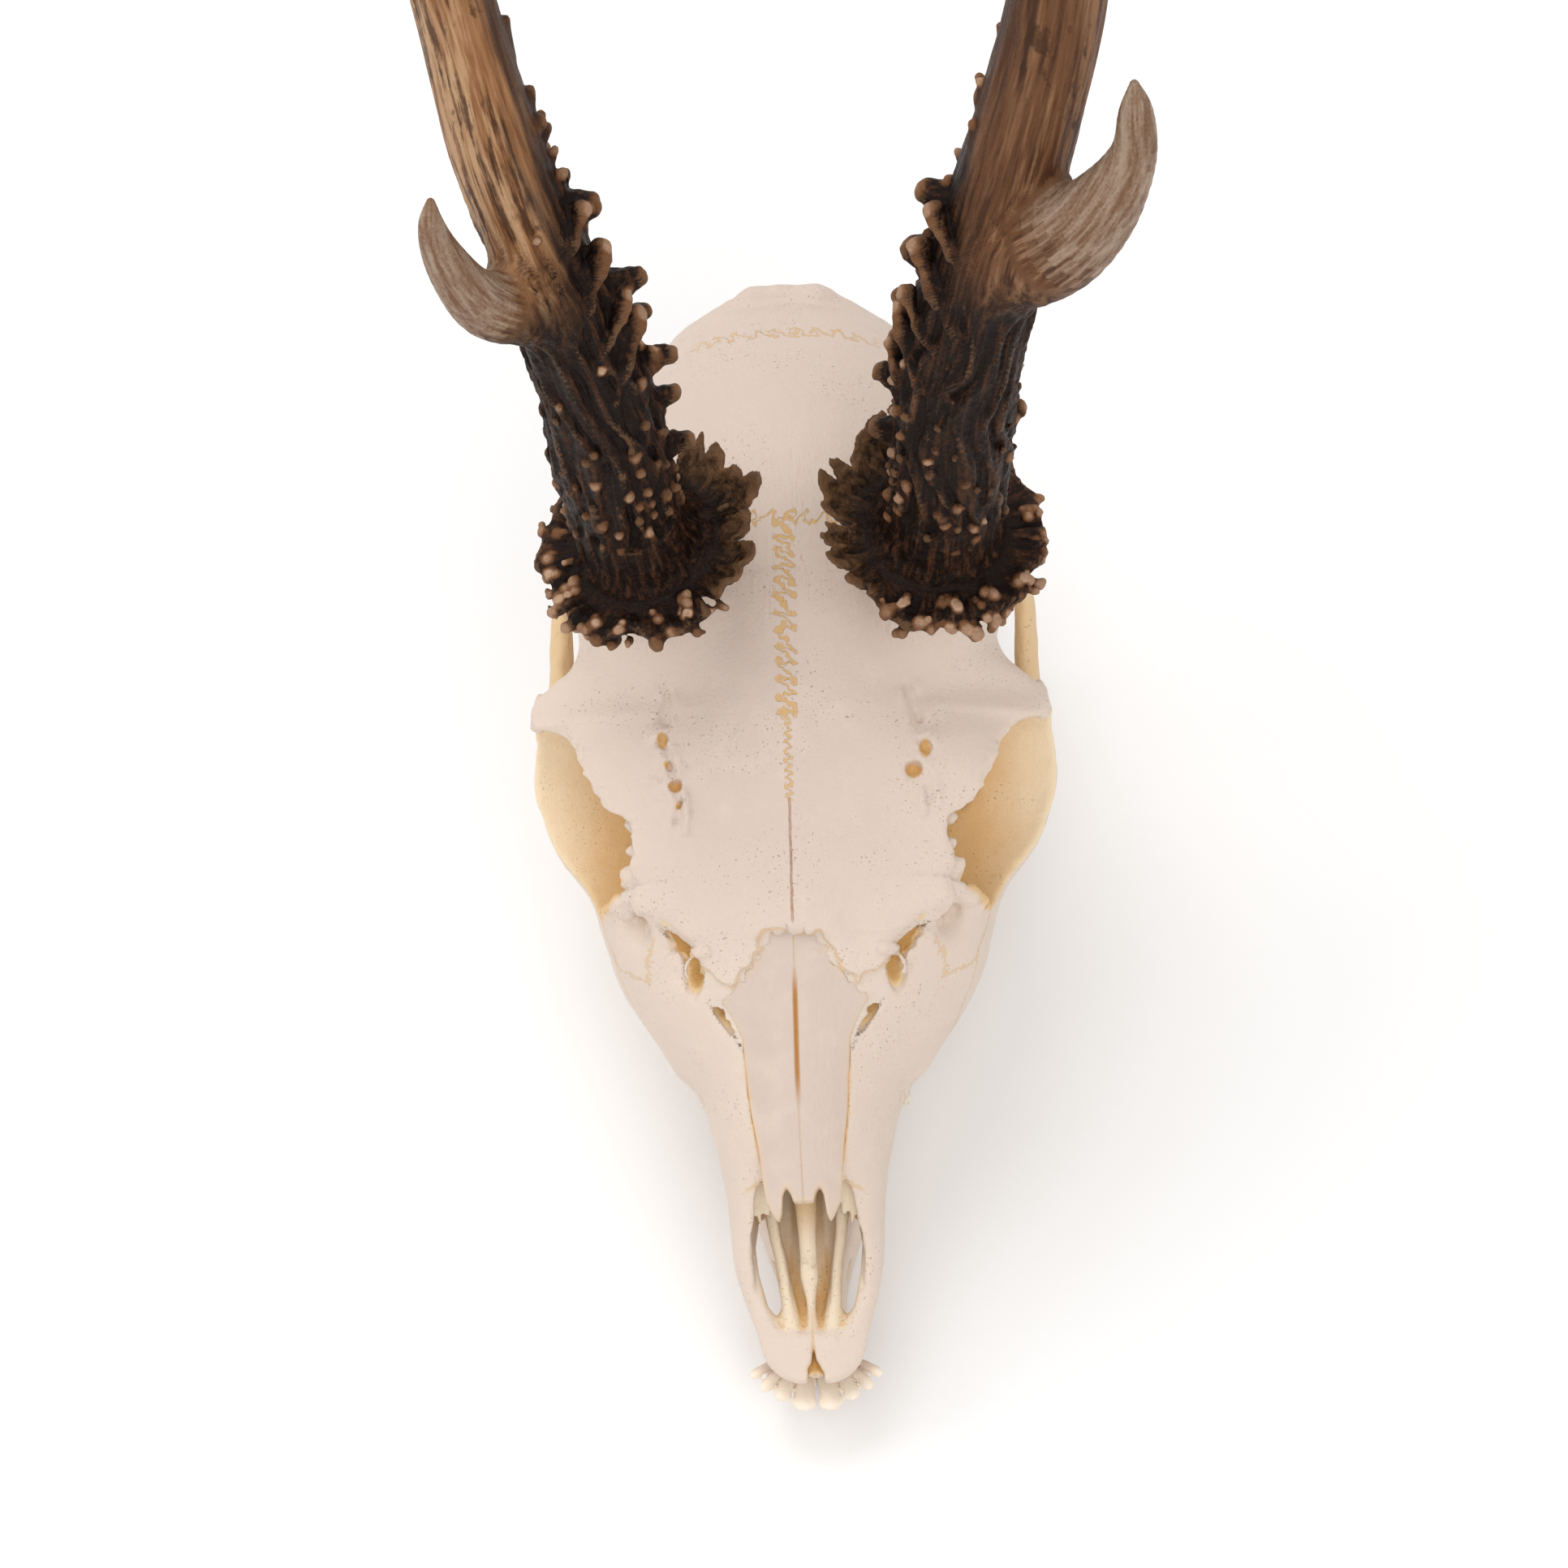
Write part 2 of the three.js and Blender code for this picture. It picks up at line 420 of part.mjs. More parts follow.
// The knobbed collar at the foot of an antler: rings along the beam's foot, wider and lobed half way up.
function burr(side) {
  const [from, to] = BEAM[side].slice(0, 2).map(([x, y, z]) => vec(x, y, z));
  const axis = to.clone().sub(from).normalize();
  const across = vec(1, 0, 0).addScaledVector(axis, -axis.x).normalize();
  const back = axis.clone().cross(across);
  const rings = [[-2.6, 12, 0], [-0.8, 17.5, 0.5], [2.2, BURR.radius, 1], [5.2, BURR.radius * 0.93, 1],
    [8.2, 15.5, 0.5], [11.5, 12, 0]];
  return solid(loft(rings.map(([height, radius, rough]) => Array.from({ length: BURR.sides }, (_, s) => {
    const a = (2 * Math.PI * s) / BURR.sides;
    const lobed = 1 + rough * (0.06 * Math.sin(BURR.lobes * a + side) + 0.05 * Math.sin(4 * a + 2 * side));
    return from.clone().addScaledVector(axis, height + rough * Math.sin(5 * a) * 0.9)
      .addScaledVector(across, radius * lobed * Math.cos(a))
      .addScaledVector(back, radius * lobed * Math.sin(a));
  }))));
}

// The largest pearls of each antler, on its inner and back side: [x, y, z, radius] of each rounded end.
const PEARLS = {
  "-1": [[-14.6, 140, 103, 3.4], [-16.4, 143.6, 115, 3.2], [-16.2, 146, 126, 3.2], [-19.8, 149.4, 136, 3.2],
    [-20.4, 152.6, 143, 3.6], [-27, 157.4, 161, 3.6], [-34, 164.4, 178, 2.8], [-31, 146, 100, 3],
    [-38, 140, 118, 2.8]],
  1: [[18, 141, 104, 3.4], [19, 144.6, 119, 3.4], [22, 147, 128, 3.2], [23, 149.6, 138, 3.4],
    [25.4, 154, 148, 4.6], [28, 158, 161, 4.2], [37.4, 164.6, 182, 2.8], [38, 146, 102, 3.2],
    [42.4, 141, 110, 3.4]],
};

function pearls(side) {
  return PEARLS[side].map(([x, y, z, radius]) => {
    const nearer = (a, b) => (Math.abs(b[2] - z) < Math.abs(a[2] - z) ? b : a);
    const root = BEAM[side].reduce(nearer).slice(0, 3);
    const shoulder = [x, y, z].map((value, i) => mix(root[i], value, 0.8));
    const stops = [[...root, radius * 1.3], [...shoulder, radius], [x, y, z, radius * 0.6]];
    return bar(stops, { sides: 5, steps: 2 });
  });
}

const BEAM_MESH = { sides: 8, steps: 14, up: vec(0, 1, 0) };
const beam = (side) => bar(BEAM[side], BEAM_MESH);
const above = (z, gap = 0) => block([-120, 60, z + gap], [120, 260, 400]);
const beamBed = (side) => bar(BEAM[side].map(([x, y, z, r]) => [x, y, z, r + SUTURE]), BEAM_MESH);

function tine(side, stops) {
  return bar(stops[side], { sides: 7, steps: 5, up: vec(1, 0, 0) }).subtract(beamBed(side));
}

function antler(side) {
  const whole = join([beam(side), burr(side), ...pearls(side)]);
  const low = whole.subtract(above(FRONT_FORK)).subtract(block([-120, 60, 0], [120, 260, 71.8]));
  const middle = whole.intersect(above(FRONT_FORK, SUTURE)).subtract(above(REAR_FORK));
  const top = whole.intersect(above(REAR_FORK, SUTURE));
  const front = tine(side, FRONT_TINE);
  const rear = tine(side, REAR_TINE);
  return { lower_beam: low, upper_beam: middle, top_tine: top, front_tine: front, rear_tine: rear };
}

// ---------------------------------------------------------------- the set of pieces
const bony = (color, roughness = 0.6) => new THREE.MeshStandardMaterial({ color, roughness, metalness: 0 });

// Bends the snout, tips the head onto its lower jaws and moves it to the part's origin.
function settle(geometry) {
  const position = geometry.getAttribute("position");
  for (let i = 0; i < position.count; i += 1) {
    const t = Math.max(0, 1 - position.getY(i) / SNOUT_ROOT);
    position.setX(i, position.getX(i) + SNOUT_BEND * t ** 1.4);
  }
  return geometry.rotateX(rad(PITCH)).translate(-ORIGIN.x, -ORIGIN.y, LIFT);
}

function piece(name, body, material) {
  const { numProp, vertProperties, triVerts } = body.getMesh();
  const count = vertProperties.length / numProp;
  const points = Float32Array.from({ length: count * 3 },
    (_, i) => vertProperties[Math.floor(i / 3) * numProp + (i % 3)]);
  const geometry = new THREE.BufferGeometry().setAttribute("position", new THREE.BufferAttribute(points, 3));
  geometry.setIndex(new THREE.BufferAttribute(new Uint32Array(triVerts), 1));
  const mesh = new THREE.Mesh(settle(geometry), material);
  mesh.name = name;
  return mesh;
}

const skull = new THREE.Group();
skull.name = "roe_deer_skull";
skull.add(piece("braincase", braincase(), bony(0xe4dacb)));
skull.add(piece("vomer", vomer(), bony(0xd8c8ae)));
// The nose points at -Y, so the animal's own left is +X.
for (const [label, side] of [["left", 1], ["right", -1]]) {
  skull.add(piece(`frontal_${label}`, frontal(side), bony(0xe2dacf)));
  skull.add(piece(`nasal_${label}`, nasal(side), bony(0xe0d8ce)));
  skull.add(piece(`maxilla_${label}`, maxilla(side), bony(0xe6dccb)));
  skull.add(piece(`premaxilla_${label}`, premaxilla(side), bony(0xe3d6c0)));
  skull.add(piece(`zygomatic_${label}`, cheekBlank(side).subtract(orbit(side)), bony(0xe6d8bc)));
  skull.add(piece(`mandible_${label}`, mandible(side), bony(0xe4d8c4)));
  for (const [part, body] of Object.entries(antler(side)))
    skull.add(piece(`antler_${label}_${part}`, body, bony(part.includes("tine") ? 0xa89a88 : 0x4a3424, 0.7)));
}

export default skull;
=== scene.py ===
"""Roe deer skull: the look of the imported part, a bleached skull with its lower jaws and dark antlers.

Every bone is laid out in millimetres in the head's own frame, as in the part's source: y runs back from the
front tip of the upper jaw, z runs up from the plane of the upper tooth sockets, and x is 0 on the midline.
A bone is a field of distances on a grid of points. Eggs, tubes and lofts are blended into it or cut from it,
and its zero surface becomes the mesh. settle() then moves the mesh into the part's frame, in metres.
"""

import math
from collections import namedtuple

import bpy
import numpy as np
from mathutils import Matrix, Vector


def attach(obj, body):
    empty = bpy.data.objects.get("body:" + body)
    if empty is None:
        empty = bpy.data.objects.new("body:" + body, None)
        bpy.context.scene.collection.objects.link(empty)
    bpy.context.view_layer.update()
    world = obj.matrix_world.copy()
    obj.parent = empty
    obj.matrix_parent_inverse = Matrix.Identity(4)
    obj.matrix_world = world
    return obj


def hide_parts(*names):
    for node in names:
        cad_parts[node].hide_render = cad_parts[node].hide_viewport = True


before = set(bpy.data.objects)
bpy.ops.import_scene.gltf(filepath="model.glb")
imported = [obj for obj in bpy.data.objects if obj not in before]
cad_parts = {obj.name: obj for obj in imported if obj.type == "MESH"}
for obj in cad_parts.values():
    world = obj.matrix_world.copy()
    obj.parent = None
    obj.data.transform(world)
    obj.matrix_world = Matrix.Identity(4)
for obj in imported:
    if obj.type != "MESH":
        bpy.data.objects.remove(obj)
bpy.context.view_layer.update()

# ---------- driving dimensions, as in the part's source
SKULL_LENGTH = 197.0
PITCH = 10.0  # degrees, nose-down
LIFT = 16.7  # from the tooth sockets' plane at the snout down to the floor
ORIGIN_X, ORIGIN_Y = 5.32, 93.63
SNOUT_BEND, SNOUT_ROOT, SNOUT_CURVE = 1.4, 50.0, 1.4
SUTURE = 0.3  # gap between the two lower jaws
BONE = 2.4  # thickness of the orbit's wall
NASAL_THICKNESS = 2.2
MM = 0.001
SIDES = (("left", 1), ("right", -1))  # the animal's own left is +X
ACROSS, BACK, UP = (1, 0, 0), (0, 1, 0), (0, 0, 1)

HEAD_PITCH = 0.48  # spacing of the grid of points, finest where the photograph shows most
NASAL_PITCH = 0.32
JAW_PITCH = 0.5
ANTLER_PITCH = 0.4
FAR = 6.0  # distances beyond this are not needed

DORSAL = [[0, 4], [8, 7], [16, 11], [24, 16], [30, 21], [36, 26.6], [42, 30.2], [56, 35.5], [72, 42],
          [86, 47.5], [100, 53], [115, 58], [130, 61.5], [142, 62], [155, 60.2], [168, 55.8], [180, 49.6],
          [190, 43.2], [SKULL_LENGTH, 36.5]]
NASAL_PROFILE = [[18, 21.4], [25, 24], [36, 28], [42, 30.2], [56, 35.5], [72, 42], [80, 45]]


def under_nasals(depth):
    """The nasal bones' profile, that far below their inner face."""
    return [[y, z - NASAL_THICKNESS - depth] for y, z in NASAL_PROFILE]


# A form is a table of superellipse sections along y: where it is widest, how wide and high, and how square.
FACE = {
    "half_width": [[-1.4, 3.2], [-0.6, 5.6], [0.6, 7.2], [2.6, 8.7], [8, 10.2], [14, 12.1], [20, 13.5],
                   [32, 14.4], [44, 16.5], [50, 18.4], [55, 21.8], [60, 25.9], [65, 29.3], [71, 32.6],
                   [77, 34.4], [84, 35.4], [92, 34], [100, 31], [108, 29], [114, 26]],
    "waist": [[-1, 2.5], [20, 6], [44, 7], [50, 9], [60, 15], [71, 18], [84, 19.5], [92, 16], [100, 12],
              [114, 9]],
    "top": [knot for knot in DORSAL if knot[0] <= 86] + [[94, 44], [102, 26], [114, 17]],
    "bottom": [[-1, 1], [6, 0.3], [20, 0], [114, 0]],
    "square_top": [[-1, 2.2], [40, 2.2], [60, 2.3], [75, 3], [86, 3.8], [114, 2.6]],
    "square_bottom": [[-1, 2.4], [30, 2.6], [50, 3.4], [85, 5], [114, 4]],
}
BRAINCASE = {
    "half_width": [[72, 10], [82, 16], [92, 17.5], [102, 17.5], [109, 19], [117, 22.5], [125, 26],
                   [135, 29.2], [145, 31.2], [155, 31.8], [165, 30.8], [175, 28], [185, 24], [192, 19],
                   [SKULL_LENGTH, 11]],
    "waist": [[72, 30], [110, 32], [125, 30], [150, 33], [175, 32], [SKULL_LENGTH, 28]],
    "top": [knot for knot in DORSAL if knot[0] >= 72],
    "bottom": [[72, 12], [112, 11], [120, 13], [140, 11], [160, 8], [182, 7], [190, 9], [SKULL_LENGTH, 18]],
    "square_top": [[72, 2.6], [110, 2.6], [130, 2.2], [SKULL_LENGTH, 2.1]],
    "square_bottom": [[72, 2.4], [SKULL_LENGTH, 2.3]],
}
ROOF = {
    "half_width": [[72, 22], [77, 28], [79.5, 27], [82.5, 28.8], [86.5, 28], [90, 28.4], [91.8, 31.4],
                   [95.7, 34.8], [100, 36.6], [105, 38.8], [107.4, 41], [109.2, 45.2], [111.5, 46],
                   [114, 45], [119, 38.5], [125, 33], [131, 29]],
    "waist": [[72, 38.5], [77, 41.2], [82, 44], [88, 46.8], [93, 48.6], [98, 48.8], [104, 48], [112, 46.3],
              [119, 50], [131, 54]],
    "top": [knot for knot in DORSAL if 72 <= knot[0] <= 142],
    "bottom": [[72, 34], [82, 41.5], [93, 46], [104, 45.2], [112, 42.5], [119, 46.6], [131, 49]],
    "square_top": [[72, 2.2], [93, 3.4], [107, 1.8], [112, 1.5], [118, 1.8], [131, 2]],
    "square_bottom": [[72, 3], [102, 3], [112, 1.7], [120, 2.6], [131, 3]],
}
NOSE = {
    "half_width": [[4, 6.4], [10, 8.2], [20, 8.8], [30, 9.6], [45, 8.8], [60, 7]],
    "waist": [[4, 12], [14, 10], [60, 14]],
    "top": under_nasals(1.2),
    "bottom": [[4, 10], [6, 6.6], [9, 4.4], [14, 3.4], [20, 3.4], [60, 7]],
    "square_top": [[-4, 2.4], [60, 2.4]],
    "square_bottom": [[-4, 3], [60, 3]],
}
JAW = {
    "half_width": [[-4, 1.5], [0, 2.2], [10, 2.6], [20, 2.5], [30, 2.4], [40, 2.6], [50, 3], [80, 4],
                   [108, 4.7], [118, 3.4], [128, 2.1], [140, 1.6], [150, 1.8], [156, 1]],
    "bottom": [[-4, -9.5], [0, -13], [8, -18.4], [18, -20.8], [30, -22.6], [47, -26], [80, -31.4], [100, -35],
               [115, -38.8], [130, -42], [144, -44.4], [151, -41], [156, -30]],
    "top": [[-4, -6.4], [0, -6.8], [8, -8.2], [18, -9.6], [30, -12], [113, -12], [117, -8], [121, 0],
            [126, 10], [132, 16], [140, 18], [151, 18], [156, -5]],
    "square_top": [[-4, 2.2], [156, 2.6]],
    "square_bottom": [[-4, 2.2], [40, 2.4], [110, 2.8], [130, 4], [156, 4]],
}
JAW_CENTRE = [[-4, 2.4], [10, 2.9], [20, 3.7], [30, 6.4], [40, 9.6], [50, 12.4], [70, 14.8], [90, 17.4],
              [110, 21], [122, 25], [135, 30], [148, 33.4], [156, 34]]
NASAL_PLAN = [[-1, 72.6], [4.4, 70.7], [7.3, 65.5], [11, 62.5], [13, 60.3], [10.9, 56.6], [9.6, 54],
              [9.2, 48], [8.7, 42], [7.7, 36], [7.2, 31], [6.7, 27], [5.5, 24.4], [4.6, 23.2], [4.0, 24.4],
              [3.6, 27.6], [3.0, 28.8], [2.3, 27.8], [1.8, 26.3], [-1, 26.1]]
NASAL_SIDE = [[10, 16], [36, 23.5], [56, 31], [80, 41], [80, 90], [10, 90]]
FRONTAL_PLAN = [[-60, 72.9], [4.6, 71], [7.6, 65.8], [11.3, 62.8], [20, 69.4], [29, 77.5], [60, 77.5],
                [60, 132], [44, 142], [-60, 142]]
# Bones whose sutures show from the side, as outlines of [y, z].
SIDE_OUTLINES = {
    "premaxilla": [[-9, -9], [15, -9], [16, 0], [24, 7], [29, 13.6], [31.5, 21], [33, 60], [-9, 60]],
    "jugal": [[62, 9], [66, 17], [72, 27], [84, 27], [84, 36], [127, 40], [121, 24], [127, 17], [110, 5],
              [80, 10], [70, 7]],
    "lacrimal": [[66, 30], [70, 26], [84, 27], [84, 48], [76, 42]],
}
CORONAL = 142  # where the suture behind the frontal bones runs
BOWL_PLAN = [[26, 76], [33, 78], [36.6, 88], [42.2, 95.5], [45, 102], [45.8, 109], [45.6, 117], [34, 117],
             [33, 104], [28, 98], [26, 92]]
FISSURE_PLAN = [[5.2, 12.4], [6.4, 10.6], [7.8, 12.4], [9.2, 18], [9.7, 24], [9, 29], [7.4, 30], [6.5, 25],
                [6, 18]]
ORBIT = ((42, 95.5, 33.5), (27, 17.5, 14.5))  # middle and radii
# The antlers' beams and tines: [x, y, z, radius] of each stop, by side.
BEAM = {
    -1: [[-25.8, 132.8, 74.6, 9], [-27, 134.8, 86, 9.2], [-28, 138, 102, 9.9], [-29.4, 142.6, 120, 9.2],
         [-32.6, 147.4, 137, 8.8], [-36.6, 154.2, 154, 8], [-41.6, 162.4, 175, 7.6], [-45.8, 174.4, 202, 6.7],
         [-48, 181, 221, 6.7], [-48.6, 183, 241, 4.8], [-47, 185, 262, 3.4], [-44, 190, 284, 0.9]],
    1: [[28.8, 133, 75, 9], [30, 135, 86, 9.4], [31, 138, 102, 10], [32, 141.6, 120, 9.8],
        [35, 146.4, 137, 9.6], [38.6, 152.4, 154, 9.2], [44.8, 161.8, 178, 8.6], [50, 171.8, 201, 8],
        [52.4, 180, 221, 7.4], [52, 182.6, 241, 5.2], [50.8, 185, 262, 3.6], [48, 190, 284, 0.9]],
}
FRONT_TINE = {
    -1: [[-37, 147, 147, 7.4], [-42.6, 142.4, 155, 6], [-46.6, 141.4, 162.6, 4.7], [-50.2, 144.2, 171, 3.4],
         [-51.6, 147, 176.6, 2.2], [-51.4, 149.6, 180.4, 0.8]],
    1: [[40, 149, 151, 8.4], [49, 145.6, 165.4, 8.2], [56.6, 147, 176.6, 6.2], [61.4, 150.6, 187, 3.9],
        [62, 154.4, 194.6, 2.9], [61.8, 157, 199.8, 0.9]],
}
REAR_TINE = {
    -1: [[-48, 181, 220, 5.6], [-49.4, 191, 226, 5], [-50.4, 203, 233.5, 3.6], [-50, 213, 243, 0.9]],
    1: [[52.4, 180, 220, 6], [53, 191, 226, 5.2], [54, 203, 233.5, 3.7], [53.6, 213, 243, 0.9]],
}
# Holes over the eyes: [x, y, half width, half length, depth].
PITS = [[-22.4, 103.4, 0.8, 1.4, 1.2], [-20.3, 95.4, 1.2, 1.0, 1.7], [24.2, 101.0, 0.9, 1.7, 1.4],
        [22.1, 97.3, 1.55, 1.35, 2.0], [-19.8, 92.2, 0.35, 0.5, 0.6], [-21.8, 99.2, 0.3, 0.5, 0.5]]
# The middle of each coronet, and a point above it on its axis, by side.
FOOT = {-1: ((-23.6, 131.3, 74.6), (-25.4, 133, 85)), 1: ((27.4, 132.2, 75), (28.9, 133.8, 86))}
ANTLER_NODES = ("lower_beam", "upper_beam", "top_tine", "front_tine", "rear_tine")
# The antlers' largest pearls, on the inner and back side: [x, y, z, radius] of each rounded end.
PEARLS = {
    -1: [[-14.6, 140, 103, 2.2], [-16.4, 143.6, 115, 2.2], [-16.2, 146, 126, 2.2], [-19.8, 149.4, 136, 2.2],
         [-20.4, 152.6, 143, 2.6], [-27, 157.4, 161, 3.2], [-34, 164.4, 178, 2], [-31, 146, 100, 2],
         [-38, 140, 118, 1.8]],
    1: [[18, 141, 104, 2.4], [19, 144.6, 119, 2.4], [22, 147, 128, 2.2], [23, 149.6, 138, 2.4],
        [25.4, 154, 148, 3.2], [28, 158, 161, 3], [37.4, 164.6, 182, 2], [38, 146, 102, 2],
        [42.4, 141, 110, 2.2]],
}


# ---------- curves and noise
CORNERS = [(i, j, k) for i in (0, 1) for j in (0, 1) for k in (0, 1)]  # of a cell


def profile(knots):
    """A smooth curve through [position, value] knots that never overshoots them."""
    at = np.array([k[0] for k in knots], float)
    value = np.array([k[1] for k in knots], float)
    slope = np.diff(value) / np.diff(at)
    tangent = np.empty(len(at))
    tangent[0], tangent[-1] = slope[0], slope[-1]
    before, after = slope[:-1], slope[1:]
    turning = before * after <= 0
    total = np.where(turning, 1, before + after)
    tangent[1:-1] = np.where(turning, 0, 2 * before * after / total)

    def curve(y):
        y = np.clip(y, at[0], at[-1])
        i = np.clip(np.searchsorted(at, y, side="right") - 1, 0, len(at) - 2)
        step = at[i + 1] - at[i]
        t = (y - at[i]) / step
        t2, t3 = t * t, t * t * t
        made = (2 * t3 - 3 * t2 + 1) * value[i] + (t3 - 2 * t2 + t) * step * tangent[i]
        made = made + (3 * t2 - 2 * t3) * value[i + 1] + (t3 - t2) * step * tangent[i + 1]
        return made.astype(np.float32)

    return curve


def spline(stops, steps):
    """Evenly many points on a Catmull-Rom curve through the stops, all columns alike."""
    stops = np.array(stops, float)
    ends = np.vstack([2 * stops[0] - stops[1], stops, 2 * stops[-1] - stops[-2]])
    points = []
    for i in range(len(stops) - 1):
        p0, p1, p2, p3 = ends[i:i + 4]
        for s in range(steps):
            t = s / steps
            points.append(0.5 * (2 * p1 + (p2 - p0) * t + (2 * p0 - 5 * p1 + 4 * p2 - p3) * t * t
                                 + (3 * p1 - p0 - 3 * p2 + p3) * t ** 3))
    points.append(stops[-1])
    return np.array(points)


def noise(points, size, seed=0):
    """Smooth noise from -1 to 1 at each point, with lumps of about that size."""
    table = np.random.RandomState(seed).uniform(-1, 1, (32, 32, 32)).astype(np.float32)
    q = points / np.asarray(size, np.float32)
    cell = np.floor(q).astype(np.int32)
    t = (q - cell).astype(np.float32)
    t = t * t * (3 - 2 * t)
    total = np.zeros(len(points), np.float32)
    for dx, dy, dz in CORNERS:
        weight = (t[:, 0] if dx else 1 - t[:, 0]) * (t[:, 1] if dy else 1 - t[:, 1])
        weight = weight * (t[:, 2] if dz else 1 - t[:, 2])
        total += weight * table[(cell[:, 0] + dx) & 31, (cell[:, 1] + dy) & 31, (cell[:, 2] + dz) & 31]
    return total


def lerp(a, b, t):
    return a + (b - a) * t


def smoothstep(low, high, value):
    """0 up to low, 1 from high on, and smooth between; it falls instead where low is above high."""
    t = np.clip((value - low) / (high - low), 0, 1)
    return t * t * (3 - 2 * t)


def dot(vector, direction):
    return sum(part * share for part, share in zip(vector, direction))


# ---------- shapes: a box and a distance inside it
Shape = namedtuple("Shape", "low high distance")


def egg(centre, radii, turn_x=0.0, turn_y=0.0, turn_z=0.0):
    """A stretched ball, turned about x, then y, then z, in degrees."""
    turn = (Matrix.Rotation(math.radians(turn_z), 3, "Z") @ Matrix.Rotation(math.radians(turn_y), 3, "Y")
            @ Matrix.Rotation(math.radians(turn_x), 3, "X"))
    turn = np.array(turn, np.float32)
    radii = np.broadcast_to(np.asarray(radii, np.float32), (3,))
    centre = np.array(centre, np.float32)
    reach = np.abs(turn) @ radii

    def distance(x, y, z):
        p = (x - centre[0], y - centre[1], z - centre[2])
        q = [dot(p, turn[:, i]) for i in range(3)]
        near = np.sqrt(sum((q[i] / radii[i]) ** 2 for i in range(3)))
        steep = np.sqrt(sum((q[i] / radii[i] ** 2) ** 2 for i in range(3))) + 1e-5
        return near * (near - 1) / steep

    return Shape(centre - reach, centre + reach, distance)


def brick(centre, half, rounding):
    """A box with rounded edges."""
    centre, half = np.array(centre, np.float32), np.array(half, np.float32)

    def distance(x, y, z):
        q = [np.abs(v - c) - h + rounding for v, c, h in zip((x, y, z), centre, half)]
        outside = np.sqrt(sum(np.maximum(v, 0) ** 2 for v in q))
        return outside + np.minimum(np.maximum(np.maximum(q[0], q[1]), q[2]), 0) - rounding

    return Shape(centre - half, centre + half, distance)


def tube(stops, steps=6, up=UP):
    """A tube on a smooth curve. A stop is [x, y, z, radius] or [x, y, z, radius across, radius along up]."""
    stops = [list(s) if len(s) == 5 else list(s) + [s[3]] for s in stops]
    path = spline(stops, steps) if len(stops) > 2 else np.array(stops, float)
    path[:, 3:] = np.maximum(path[:, 3:], 0.15)
    thick = path[:, 3:].max(axis=1)
    up = np.array(up, float)

    def distance(x, y, z):
        out = np.full(np.broadcast(x, y, z).shape, FAR, np.float32)
        axes = (x.ravel(), y.ravel(), z.ravel())
        for a, b in zip(path, path[1:]):
            reach = max(a[3:].max(), b[3:].max()) + 3
            low, high = np.minimum(a[:3], b[:3]) - reach, np.maximum(a[:3], b[:3]) + reach
            part = tuple(slice(*np.searchsorted(axis, ends)) for axis, ends in zip(axes, zip(low, high)))
            if any(cells.stop <= cells.start for cells in part):
                continue
            ahead = b[:3] - a[:3]
            length = np.linalg.norm(ahead) + 1e-6
            ahead = ahead / length
            side = np.cross(ahead, up)
            side /= np.linalg.norm(side) + 1e-6
            over = np.cross(side, ahead)
            p = [axes[0][part[0]][:, None, None] - a[0], axes[1][part[1]][None, :, None] - a[1],
                 axes[2][part[2]][None, None, :] - a[2]]
            along = dot(p, ahead)
            t = np.clip(along / length, 0, 1)
            past = along - t * length
            wide, tall = lerp(a[3], b[3], t), lerp(a[4], b[4], t)
            thin = np.minimum(wide, tall)
            across, rise = dot(p, side) / wide, dot(p, over) / tall
            made = (np.sqrt(across * across + rise * rise + (past / thin) ** 2) - 1) * thin
            out[part] = np.minimum(out[part], made)
        return out

    low, high = path[:, :3] - thick[:, None], path[:, :3] + thick[:, None]
    return Shape(low.min(axis=0), high.max(axis=0), distance)


def loft(form, start, end, centre=None):
    """A body of superellipse sections along y, from its tables of knots."""
    f = {name: profile(knots) for name, knots in form.items()}
    middle = f["waist"] if "waist" in f else (lambda y: (f["top"](y) + f["bottom"](y)) / 2)
    widest = max(v for _, v in form["half_width"]) + (max(abs(c) for _, c in centre) if centre else 0)
    path = profile(centre) if centre else (lambda y: np.zeros_like(y))

    def distance(x, y, z):
        waist = middle(y)
        v = z - waist
        upper = v > 0
        height = np.where(upper, f["top"](y) - waist, waist - f["bottom"](y))
        power = np.where(upper, f["square_top"](y), f["square_bottom"](y)).astype(np.float32)
        across = x - path(y)
        inside = (np.abs(across) / f["half_width"](y)) ** power + np.abs(v / height) ** power
        scale = np.maximum(inside, 1e-6) ** (1 / power)
        made = np.sqrt(across * across + v * v) * (1 - 1 / scale)
        return np.maximum(made, np.maximum(start - y, y - end)).astype(np.float32)

    return Shape((-widest, start, min(v for _, v in form["bottom"])),
                 (widest, end, max(v for _, v in form["top"])), distance)


def flat_distance(outline, u, v):
    """Distance in a plane to a closed outline, negative inside it."""
    points = np.array(outline, np.float32)
    nearest = np.full(np.broadcast(u, v).shape, 1e6, np.float32)
    inside = np.zeros(nearest.shape, bool)
    for (au, av), (bu, bv) in zip(points, np.roll(points, -1, axis=0)):
        eu, ev = bu - au, bv - av
        wu, wv = u - au, v - av
        t = np.clip((wu * eu + wv * ev) / (eu * eu + ev * ev + 1e-9), 0, 1)
        nearest = np.minimum(nearest, (wu - eu * t) ** 2 + (wv - ev * t) ** 2)
        crosses = (av > v) != (bv > v)
        if ev != 0:
            inside ^= crosses & (u < eu * (v - av) / ev + au)
    return np.where(inside, -1, 1) * np.sqrt(nearest)


